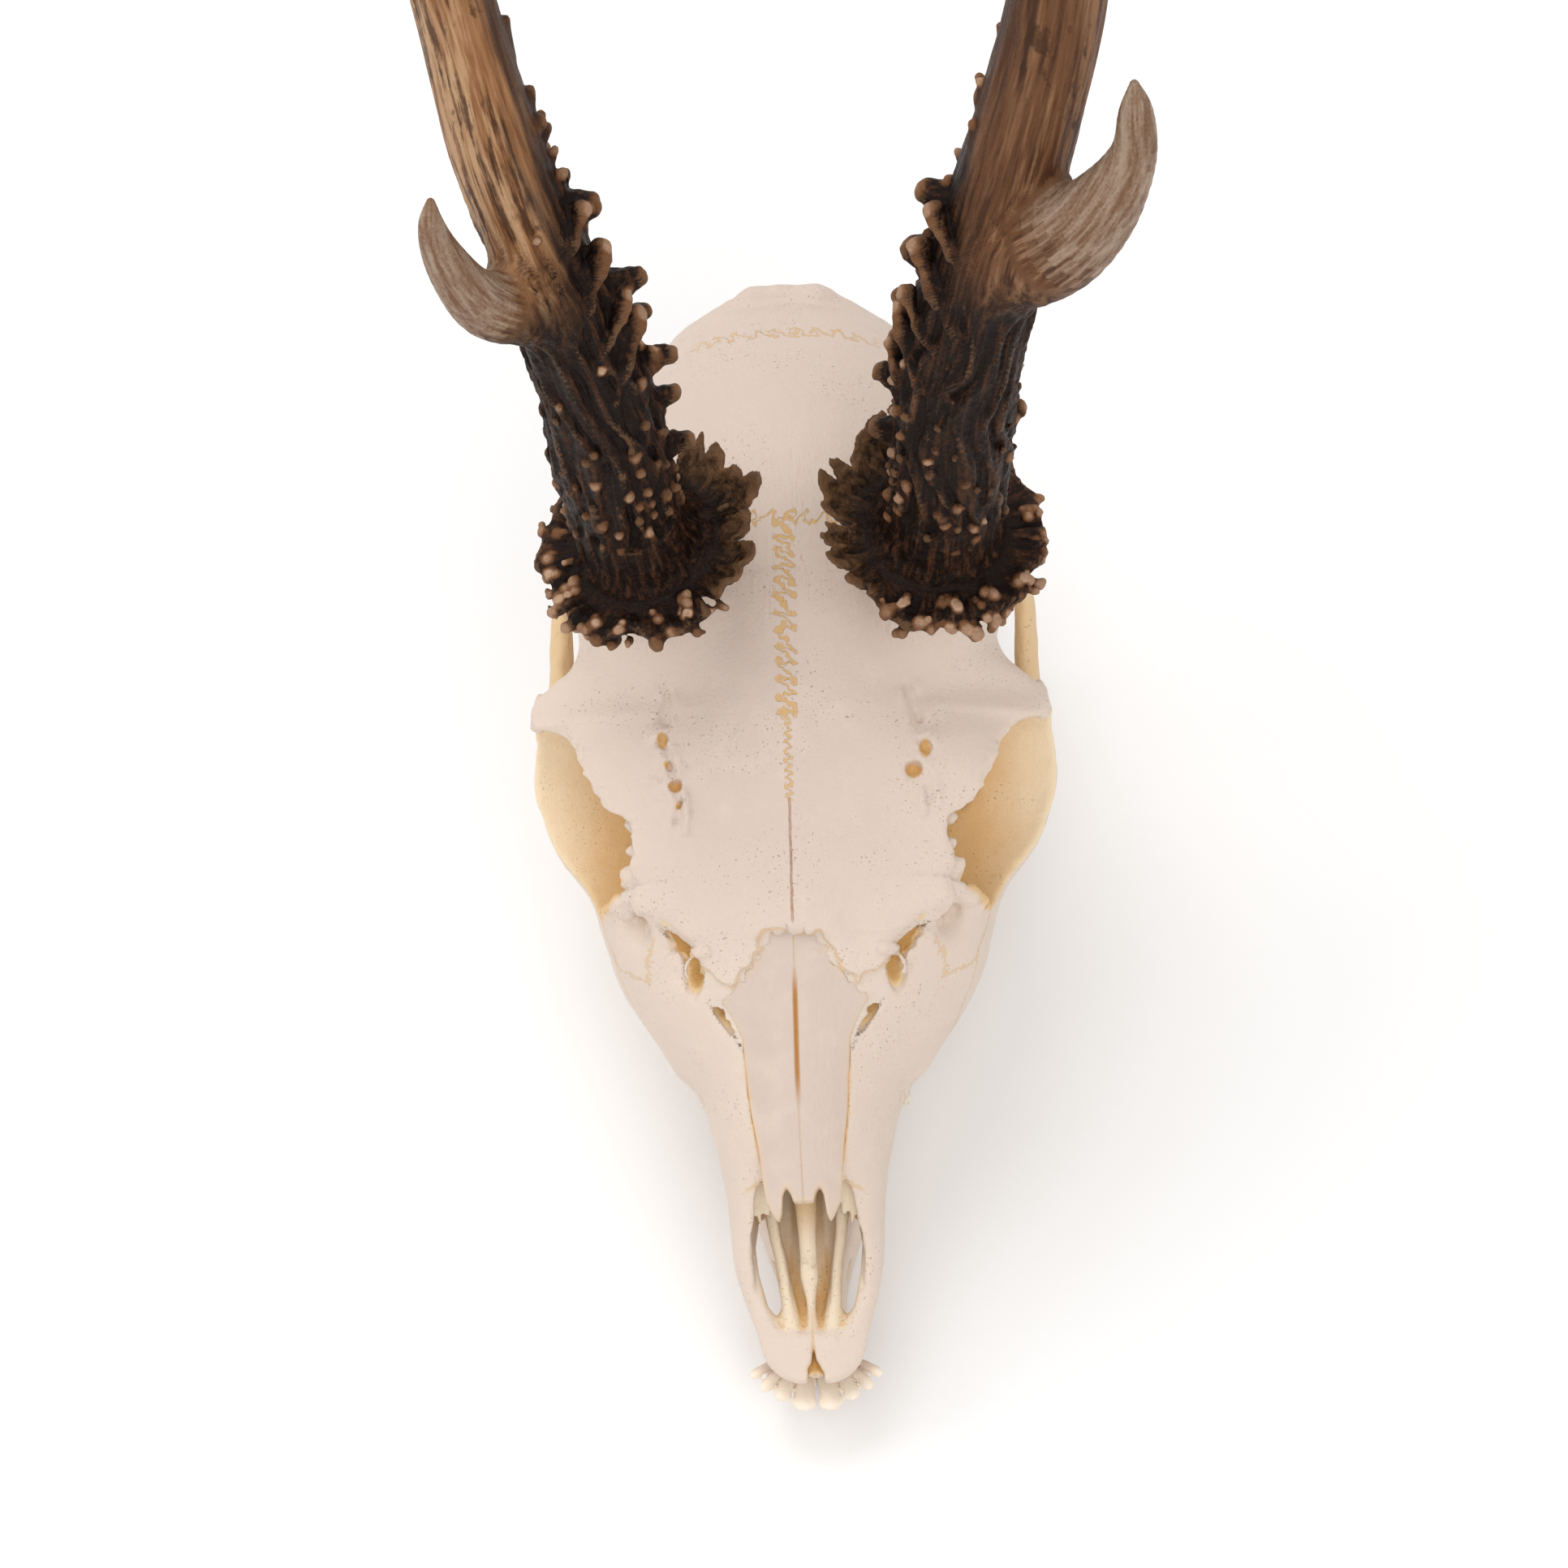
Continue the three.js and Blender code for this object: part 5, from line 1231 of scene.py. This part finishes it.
def dress_jaw():
    """One lower jaw is made, and its mirror image is the other."""
    field = Field((-1, -7, -46), (41, 159, 47), JAW_PITCH)
    field.add(loft(JAW, -4, 156, JAW_CENTRE), 1)
    field.cut(egg((0, -2, -16), (1.2, 12, 8)), 2)  # the groove below, where the two jaws meet
    field.cut(prism([[-2, -8], [12, -8], [12, 2.5], [-2, 2.5]], -12, 2), 1)  # room for the front teeth
    field.add(egg((33.4, 149.4, 18.4), (5, 2.9, 3.2)), 2)  # the joint's head, and its neck below
    field.add(tube([[33.4, 149, 14, 2], [33, 147, 6, 1.8], [31.6, 143, -6, 2.2]], up=BACK), 3)
    coronoid = [[30.4, 130, 8, 1.3, 4.6], [33, 136, 25, 1.2, 4], [34.8, 141.5, 36, 1.1, 2.8],
                [35.4, 147, 43.5, 0.7, 1.2]]
    field.add(tube(coronoid, up=BACK), 2)
    lower_edge = [[18, 96, -28, 1.5], [24, 116, -34, 1.6], [31.5, 136, -39.4, 2.0], [34.6, 149, -36, 1.6]]
    field.add(tube(lower_edge), 3)
    field.cut(egg((35.0, 133, -14), (4.2, 9, 13), turn_z=-18), 3)  # the muscles' beds on both faces
    field.cut(egg((25.0, 135, -12), (3.2, 8, 10), turn_z=-18), 2)
    field.cut(egg((6.2, 24, -14.6), (1.6, 2.6, 1.2)), 0.8)  # chin hole
    add_teeth(field, 1, [48, 12, 5.6], [113, 20.6, 8], -15, -7.4, (1, 1, 1, 2, 2, 3))
    field.add(egg((4.2, 3.4, -8.6), (5.2, 4.4, 2.6), turn_x=-24), 1.5)
    for centre, (wide, long), turn in INCISORS:
        toward = Vector((0, -1, 0)) @ Matrix.Rotation(math.radians(-turn), 3, "Z")
        edge = Vector(centre) + Vector((toward.x, toward.y, 0.5)) * long * 0.42
        field.add(egg(centre, (wide * 0.8, long, 1.2), turn_x=-32, turn_z=turn), 0.12)
        field.add(egg(edge, (wide * 0.96, long * 0.5, 1.0), turn_x=-32, turn_z=turn), 0.12)
    points, faces = field.surface()
    points = relaxed(points, faces)
    # The share of bone about each point, for the paint's painted shade in the hollows.
    hollow, deep = crowding(field, points, 2.0), crowding(field, points, 5)
    lumps = noise(points, 9, 31) * 0.14 + noise(points, 3, 32) * 0.05
    points = raised(points, normals_of(points, faces), lumps)
    points[:, 0] = np.maximum(points[:, 0], SUTURE / 2)
    material = jaw_paint()
    for label, side in SIDES:
        mirrored = points * np.array([side, 1, 1], np.float32)
        piece(f"jaw_{label}", mirrored, faces if side > 0 else faces[:, ::-1], material, "jaw_bone",
              [f"mandible_{label}"], hollow=hollow, deep=deep)


# ---------- antlers
def beam_at(side):
    """The beam's x, y and radius, each as a curve over z."""
    stops = np.array(BEAM[side], float)
    return [profile(np.column_stack([stops[:, 2], stops[:, i]])) for i in (0, 1, 3)]


def add_beam(field, side):
    """The beam in thin level slabs, each only as wide as it has to be, with cords along it."""
    cx, cy, cr = beam_at(side)
    *tip, _ = BEAM[side][-1]
    top = tip[2]
    slab = 6.0

    def distance(x, y, z):
        tx, ty, slope = ((curve(z + 1) - curve(z - 1)) / 2 for curve in (cx, cy, cr))
        unit = 1 / np.sqrt(1 + tx * tx + ty * ty)
        dx, dy = x - cx(z), y - cy(z)
        along = (dx * tx + dy * ty) * unit
        radius = cr(z) + slope * along * unit
        rho = np.sqrt(np.maximum(dx * dx + dy * dy - along * along, 1e-6))
        angle = np.arctan2(dy, dx)
        turn = angle + 0.22 * np.sin(z * 0.11 + side) + 0.09 * np.sin(z * 0.3 + angle * 3)
        cords = 2 * np.abs(np.sin(turn * 6.5 + side)) - 1.2 + 0.45 * np.sin(turn * 21 + z * 0.2)
        rough = 0.07 + 0.5 * smoothstep(178, 128, z)
        return rho - radius - rough * cords

    z = BEAM[side][0][2] - 3.5
    while z < top:
        middle = np.float32(z + slab / 2)
        reach, x, y = float(cr(middle)) + 5.5, float(cx(middle)), float(cy(middle))
        low, high = (x - reach, y - reach, z), (x + reach, y + reach, min(z + slab, top))
        start, stop = (int(round((end[2] - field.low[2]) / field.pitch)) for end in (low, high))
        part, grid = field.window(Shape(low, high, None), 0)
        part = (part[0], part[1], slice(start, stop))
        level = (np.arange(start, stop, dtype=np.float32) * field.pitch + field.low[2])[None, None, :]
        field.values[part] = np.minimum(field.values[part], distance(grid[0], grid[1], level))
        z += slab
    field.add(egg(tip, (0.9, 0.9, 1.8)), 1)


def foot_frame(side):
    """The middle of the coronet, its axis, and two directions across it."""
    low, high = (np.array(point, float) for point in FOOT[side])
    axis = (high - low) / np.linalg.norm(high - low)
    right = np.array([1, 0, 0]) - axis * axis[0]
    right /= np.linalg.norm(right)
    return low, axis, right, np.cross(axis, right)


def leafy(angle, side):
    """How much of the coronet's rim there is leaf: 1 on the inner and back side, 0 in front."""
    return smoothstep(0.42, 0.72, 0.5 + 0.5 * np.cos(angle - math.atan2(0.8, -side)))


def collar(side, rng):
    """The coronet's fluted dish, with leaves on its inner and back edge, and the notches between them."""
    foot, axis, right, back = foot_frame(side)
    # Half sections of [radius, height]: where there are knobs, and where there are leaves.
    plain = [[0, -3.4], [11.8, -3.2], [14.6, -2.3], [17.2, -1.0], [18.8, 0.6], [18.9, 1.8], [17.2, 2.2],
             [14.5, 1.5], [12, 2.0], [10.4, 4.6], [9.4, 9], [9, 13.6], [0, 13.6]]
    thin = [[0, -3.4], [11, -3.0], [14, -1.2], [17, 0.6], [19.4, 2.3], [19.6, 3.1], [18.8, 3.4], [16, 2.6],
            [13, 2.4], [10.6, 4.8], [9.4, 9], [9, 13.6], [0, 13.6]]
    waves = [(k, rng.uniform(0, 6.28), a) for k, a in ((3, 0.3), (5, 0.45), (7, 0.5), (11, 0.45), (17, 0.3))]
    leafy_at = math.atan2(0.8, -side)
    notches = []
    number, spread = 15, 2.9
    for i in range(number):
        deep = (6.6, 1.0, 1.7, 3.2, 1.2)[i % 5] + rng.uniform(-0.6, 0.9)
        place = leafy_at - spread / 2 + spread * (i + rng.uniform(-0.45, 0.45)) / (number - 1)
        notches.append((place, deep, rng.uniform(0.02, 0.055)))

    def distance(x, y, z):
        p = [x - foot[0], y - foot[1], z - foot[2]]
        h, u, v = dot(p, axis), dot(p, right), dot(p, back)
        rho = np.sqrt(u * u + v * v)
        angle = np.arctan2(v, u)
        leaf = leafy(angle, side)
        rim = sum(a * np.sin(k * angle + s) for k, s, a in waves) + (2.2 + np.sin(angle * 9 + side)) * leaf
        for place, deep, wide in notches:
            away = (angle - place + math.pi) % (2 * math.pi) - math.pi
            rim = rim - deep * np.exp(-(away / wide) ** 2)
        outer = smoothstep(11.5, 16.5, rho)
        turn = angle + 0.09 * np.sin(angle * 5 + side) + 0.05 * np.sin(angle * 11)
        deep = 0.35 + 0.3 * np.sin(angle * 4 + side) + 0.25 * leaf
        flutes = np.abs(np.sin(turn * 12.5)) - 0.55 + 0.4 * np.sin(turn * 43)
        flutes = flutes * deep * smoothstep(11, 15.5, rho)
        height = h - flutes * smoothstep(-1, 2, h) - leaf * 0.05 * np.maximum(rho - 13, 0) ** 2
        out = rho - rim * outer
        return lerp(flat_distance(plain, out, height), flat_distance(thin, out, height), leaf) * 0.8

    return Shape(foot - 24, foot + [24, 24, 19], distance), notches


def add_coronet(field, side, rng):
    """The collar and the knobs round it. Returns the tips, which are worn pale: [x, y, z, radius, wear]."""
    foot, axis, right, back = foot_frame(side)
    dish, notches = collar(side, rng)
    field.add(dish, 1.5)
    tips = []

    def knob(angle, radius, height, size, worn):
        """A lumpy pearl near the rim: a bent stalk with two or three rounded bumps at its end."""
        out = right * math.cos(angle) + back * math.sin(angle)
        end = foot + out * radius + axis * height
        field.add(tube([[*(end - out * size * 2.6 - axis * size), size * 1.2], [*end, size]]), 0.8)
        tips.append([*(end + out * 0.2 + axis * 0.4), size, worn])
        for _ in range(rng.randint(1, 4)):
            beside = end + np.cross(out, axis) * rng.uniform(-1.7, 1.7) * size
            beside += axis * rng.uniform(-0.9, 0.8) - out * rng.uniform(-0.4, 1.6)
            bump = size * rng.uniform(0.5, 1.0)
            field.add(egg(beside, bump), 0.5)
            tips.append([*(beside + out * 0.2 + axis * 0.4), bump, worn * rng.uniform(0.3, 1.1)])

    # Rings of knobs: radius, height, number, and the share that is missing.
    rows = ((19.8, -0.2, 30, 0.1), (19.0, -1.9, 28, 0.2), (18.2, 1.4, 28, 0.25), (16.6, 2.2, 26, 0.5),
            (20.0, 1.0, 26, 0.35), (15.2, 2.0, 20, 0.7))
    for row, (radius, height, number, missing) in enumerate(rows):
        for i in range(number):
            angle = 2 * math.pi * (i + 0.5 * (row % 2) + rng.uniform(-0.45, 0.45)) / number
            front = 0.5 - 0.5 * math.sin(angle)
            leaf = float(leafy(angle, side))
            clump = 0.3 * math.sin(angle * 9 + side * 2) + 0.2 * math.sin(angle * 17 + row)
            size = rng.uniform(0.42, 0.85) + 0.35 * front * rng.uniform(0, 1)
            reach_out, shift = radius + rng.uniform(-1.4, 0.9), rng.uniform(-0.8, 0.9)
            worn = rng.uniform(0.25, 0.8) + 0.6 * front * rng.uniform(0, 1)
            if rng.uniform() > missing + 1.2 * leaf + max(clump, 0) + 0.25 * (1 - front):
                knob(angle, reach_out, height + shift, size, worn)
    for place, _, _ in notches:
        out = right * math.cos(place + 0.11) + back * math.sin(place + 0.11)
        tips.append([*(foot + out * (20.6 + rng.uniform(0, 1)) + axis * 4.6), 0.9, rng.uniform(0.1, 0.6)])
    return tips


def add_pleats(field, side, rng):
    """Slanting folds at the fork, from the front tine to the beam's inner side, each ending in a knob."""
    cx, cy, cr = beam_at(side)
    tips = []
    # Lowest and highest z, first and last angle from the front, and thickness.
    folds = ((117, 124, 56, 104, 1.4), (125, 134.5, 34, 98, 1.9), (134, 140, 24, 92, 1.4),
             (141, 151, 22, 88, 1.9), (152, 160, 26, 84, 1.5))
    steps = 11
    for low, high, first, last, thick in folds:
        stops = []
        bend, swell = rng.uniform(-7, 7), rng.uniform(0, 6.28)
        for step in range(steps):
            t = step / (steps - 1)
            z = np.float32(lerp(low, high, t))
            turn = lerp(first, last, t) + bend * math.sin(t * math.pi) + rng.uniform(-2, 2)
            angle = math.radians(-90 - side * turn)
            middle = np.array([float(cx(z)), float(cy(z)), float(z)])
            out = np.array([math.cos(angle), math.sin(angle), 0.35])
            lump = thick * (1 + 0.3 * math.sin(t * 13 + swell))
            reach = float(cr(z)) - 0.9 + 2.8 * t * t
            stops.append([*(middle + out * reach), lump * lerp(0.5, 1, t), lump * lerp(0.5, 0.8, t)])
            if t > 0.4:
                worn = lerp(-0.3, 0.55, t) + 0.3 * (t > 0.95)
                tips.append([*(middle + out * (reach + lump * 0.8)), lump * 0.8, worn])
        field.add(tube(stops, steps=1), 0.8)
    return tips


def add_pearls(field, side, rng):
    """Pearls on the beam: the named large ones, and many small ones at the ends of cords."""
    cx, cy, cr = beam_at(side)

    def on_beam(z, angle, out, rise=0.0):
        x, y, radius = (float(curve(np.float32(z))) for curve in (cx, cy, cr))
        return [x + (radius + out) * math.cos(angle), y + (radius + out) * math.sin(angle), z + rise]

    tips = []
    for x, y, z, radius in PEARLS[side]:
        level = np.float32(z - 2)
        root = np.array([cx(level), cy(level), level], float)
        end = np.array([x, y, z], float)
        shoulder = root * 0.3 + end * 0.7
        field.add(tube([[*root, radius * 1.5], [*shoulder, radius * 1.1, radius * 0.9],
                        [*end, radius * 0.75, radius * 0.6]], steps=3), 1.4)
        tips.append([*(end + (end - shoulder) * 0.25), radius * 0.5, rng.uniform(0.35, 0.7)])
    golden = math.pi * (3 - math.sqrt(5))
    count = 430
    for i in range(count):
        t = ((i + rng.uniform(0, 0.8)) / count) ** 1.3
        z = lerp(85.0, 232.0, t)
        angle = i * golden + rng.uniform(-0.4, 0.4)
        inner = 0.5 + 0.5 * math.cos(angle - math.atan2(0.9, -side))
        likely = (0.95 - 0.9 * float(smoothstep(112, 150, z))) * (0.3 + 0.7 * inner)
        likely += 0.35 * float(smoothstep(130, 90, z)) + 0.5 * float(smoothstep(0.8, 0.97, inner)) * (z < 228)
        length, size = rng.uniform(0.4, 1.2) + 1.2 * inner * rng.uniform(0, 1), rng.uniform(0.5, 0.85)
        cord, drift, worn = rng.uniform(2.5, 7), rng.uniform(-0.12, 0.12), rng.uniform(0, 1) ** 1.4
        if rng.uniform() > likely:
            continue
        size += 0.3 * inner
        start, middle = on_beam(z - cord, angle + drift, -0.5), on_beam(z - 1.4, angle, 0.0)
        end = on_beam(z, angle, length * 0.8, 0.5)
        field.add(tube([[*start, size * 0.8], [*middle, size], [*end, size * 0.85]], steps=2), 0.9)
        tips.append([*end, size * 0.95, worn])
    return tips


def along_path(points, path):
    """Each point's distance beyond a path's radius, its share of the path, and its place in its grain."""
    away = np.full(len(points), 1e6, np.float32)
    nearest = np.zeros(len(points), np.int32)
    for i, stop in enumerate(path):
        gap = np.linalg.norm(points - stop[:3].astype(np.float32), axis=1) - stop[3]
        nearer = gap < away
        away[nearer], nearest[nearer] = gap[nearer], i
    direction = np.gradient(path[:, :3], axis=0)
    spacing = np.linalg.norm(direction, axis=1)
    direction /= spacing[:, None]
    offset = points - path[nearest, :3]
    ahead = np.sum(offset * direction[nearest], axis=1)
    across = offset - direction[nearest] * ahead[:, None]
    along = np.cumsum(spacing)[nearest] + ahead
    return away, nearest / len(path), np.stack([across[:, 0], across[:, 1] + across[:, 2], along], axis=1)


def away_from_seams(grain, faces):
    """0 where the grain changes from one direction to another, rising to 1 four points away."""
    calm = np.ones(len(grain), np.float32)
    torn = np.ptp(grain[faces], axis=1).max(axis=1) > 1.25
    calm[faces[torn].ravel()] = 0
    for _ in range(4):
        near = calm[faces].min(axis=1) + 0.25
        np.minimum.at(calm, faces.ravel(), np.repeat(near, 4))
    return calm


def main_body(points, faces):
    """The largest connected body of a mesh, without loose crumbs."""
    label = np.arange(len(points))
    while True:
        lowest = label[faces].min(axis=1)
        joined = label.copy()
        np.minimum.at(joined, faces.ravel(), np.repeat(lowest, 4))
        joined = joined[joined]
        if np.array_equal(joined, label):
            break
        label = joined
    kept = label == np.bincount(label).argmax()
    number = np.cumsum(kept) - 1
    return points[kept], number[faces[kept[faces[:, 0]]]]


def wear(points, tips):
    """How pale each point is worn, by the tips that it lies near."""
    tip = np.zeros(len(points), np.float32)
    for x, y, z, radius, worn in tips:
        near = (np.abs(points[:, 2] - z) < 4).nonzero()[0]
        gap = np.linalg.norm(points[near] - np.array([x, y, z], np.float32), axis=1) / (radius + 0.3)
        tip[near] = np.maximum(tip[near], worn * smoothstep(1.5, 0.4, gap))
    return tip


def dress_antler(label, side):
    rng = np.random.RandomState(11 + side)
    low_x, high_x = (3.5, 66) if side > 0 else (-58, -1.5)
    field = Field((low_x, 109, 70.9), (high_x, 216, 288), ANTLER_PITCH)
    add_beam(field, side)
    field.add(tube(FRONT_TINE[side], steps=5, up=ACROSS), 4)
    field.add(tube(REAR_TINE[side], steps=5, up=ACROSS), 3)
    tips = add_coronet(field, side, rng) + add_pearls(field, side, rng) + add_pleats(field, side, rng)
    points, faces = main_body(*field.surface())
    points = relaxed(points, faces, 0.4)
    hollow = crowding(field, points, 1.5)
    tip = wear(points, tips)

    # The grain runs up the beam, out over the coronet and along each tine.
    cx, cy, _ = beam_at(side)
    z = points[:, 2]
    grain = np.stack([points[:, 0] - cx(z), points[:, 1] - cy(z), z], axis=1)
    inner = 0.5 + 0.5 * np.cos(np.arctan2(grain[:, 1], grain[:, 0]) - math.atan2(0.35, -side))
    foot, axis, right, back = foot_frame(side)
    h, u, v = ((points - foot) @ direction for direction in (axis, right, back))
    rho, angle = np.hypot(u, v), np.arctan2(v, u)
    on_coronet = (rho > 12.8) & (h < 7)
    grain[on_coronet] = np.stack([angle * 14, h, rho], axis=1)[on_coronet]
    leaf = smoothstep(13, 17.5, rho) * leafy(angle, side) * (h < 9)
    bare = np.zeros(len(points), np.float32)
    for stops in (FRONT_TINE[side], REAR_TINE[side]):
        path = spline(stops, 6)
        away, share, own_grain = along_path(points, path)
        own = smoothstep(1.6, 0.4, away) * smoothstep(0.06, 0.42, share)
        on_tine = own > 0.25
        grain[on_tine] = own_grain[on_tine]
        bare = np.maximum(bare, own)
    bare = np.maximum(bare, smoothstep(228, 262, z))
    rough = smoothstep(200, 130, z) * (1 - bare)
    grain = grain.astype(np.float32)
    calm = away_from_seams(grain, faces)
    lumps = noise(grain, (1.1, 1.1, 7), 41) * 0.26 + noise(points, 1.0, 42) * 0.17
    lumps = lumps * rough + noise(grain, (1.9, 1.9, 14), 43) * 0.12
    points = raised(points, normals_of(points, faces), lumps * calm)
    nodes = [f"antler_{label}_{name}" for name in ANTLER_NODES]
    piece(f"antler_{label}", points, faces, antler_paint(label, side), "antler_dark", nodes,
          hollow=hollow, tip=tip, bare=bare, leaf=leaf, inner=inner, grain=grain, calm=calm)


# ---------- floor, light and camera
TARGET = Vector((-5.32, -0.88, 70.25)) * MM
CAMERA_DISTANCE = 1.1
FIELD_OF_VIEW = 0.28207  # width of what the picture shows at the target
ELEVATION, YAW, ROLL = 60.0, 2.1, 1.53  # degrees
SENSOR = 36.0
FLOOR_REACH, FLOOR_WHITE = 4, (0.93, 0.93, 0.93, 1)
WORLD_LIGHT, WORLD_COLOUR = 0.66, (1.0, 0.99, 0.98, 1)
# Round lamps: place, width and watts.
LAMPS = {"key": [(-0.25, 0.55, 1.4), 1.0, 7], "fill": [(0.3, -1.0, 1.2), 1.3, 8.5],
         "side": [(-1.1, 0.1, 0.8), 0.9, 3]}
OFF_CENTRE = -0.00533  # the photograph's frame is this share of its width to the side


def add_floor():
    mesh = bpy.data.meshes.new("floor")
    corners = [(x * FLOOR_REACH, y * FLOOR_REACH, 0) for x, y in ((-1, -1), (1, -1), (1, 1), (-1, 1))]
    mesh.from_pydata(corners, [], [(0, 1, 2, 3)])
    material = bpy.data.materials.new("floor_white")
    material.use_nodes = True
    shader = material.node_tree.nodes["Principled BSDF"]
    shader.inputs["Base Color"].default_value = FLOOR_WHITE
    shader.inputs["Roughness"].default_value = 0.9
    mesh.materials.append(material)
    floor = bpy.data.objects.new("floor", mesh)
    bpy.context.scene.collection.objects.link(floor)


def add_light(name, place, size, power):
    data = bpy.data.lights.new(name, "AREA")
    data.shape = "DISK"
    data.size = size
    data.energy = power
    light = bpy.data.objects.new(name, data)
    light.location = place
    light.rotation_euler = (TARGET - Vector(place)).to_track_quat("-Z", "Y").to_euler()
    bpy.context.scene.collection.objects.link(light)


def add_camera():
    """A camera at the photograph's angle, turned a little to the side and about its own axis."""
    tilt, yaw, roll = (math.radians(angle) for angle in (ELEVATION, YAW, ROLL))
    toward, up = Vector((0, -math.cos(tilt), math.sin(tilt))), Vector((0, math.sin(tilt), math.cos(tilt)))
    across = Vector((1, 0, 0))
    back = toward * math.cos(yaw) + across * math.sin(yaw)
    level = across * math.cos(yaw) - toward * math.sin(yaw)
    right = level * math.cos(roll) - up * math.sin(roll)
    head = level * math.sin(roll) + up * math.cos(roll)
    data = bpy.data.cameras.new("camera")
    data.sensor_width = SENSOR
    data.lens = SENSOR * CAMERA_DISTANCE / FIELD_OF_VIEW
    data.shift_x = OFF_CENTRE
    data.clip_start = 0.01
    camera = bpy.data.objects.new("camera", data)
    turn = Matrix((right, head, back)).transposed().to_4x4()
    camera.matrix_world = Matrix.Translation(TARGET + back * CAMERA_DISTANCE) @ turn
    bpy.context.scene.collection.objects.link(camera)
    bpy.context.scene.camera = camera


def add_world():
    world = bpy.data.worlds.new("studio")
    world.use_nodes = True
    background = world.node_tree.nodes["Background"]
    background.inputs["Color"].default_value = WORLD_COLOUR
    background.inputs["Strength"].default_value = WORLD_LIGHT
    bpy.context.scene.world = world
    bpy.context.scene.view_settings.view_transform = "Standard"


dress_head()
nasal_material = nasal_paint()
for side_label, side_sign in SIDES:
    dress_nasal(side_label, side_sign, nasal_material)
dress_jaw()
for side_label, side_sign in SIDES:
    dress_antler(side_label, side_sign)
add_floor()
add_world()
for lamp_name, lamp in LAMPS.items():
    add_light(lamp_name, *lamp)
add_camera()
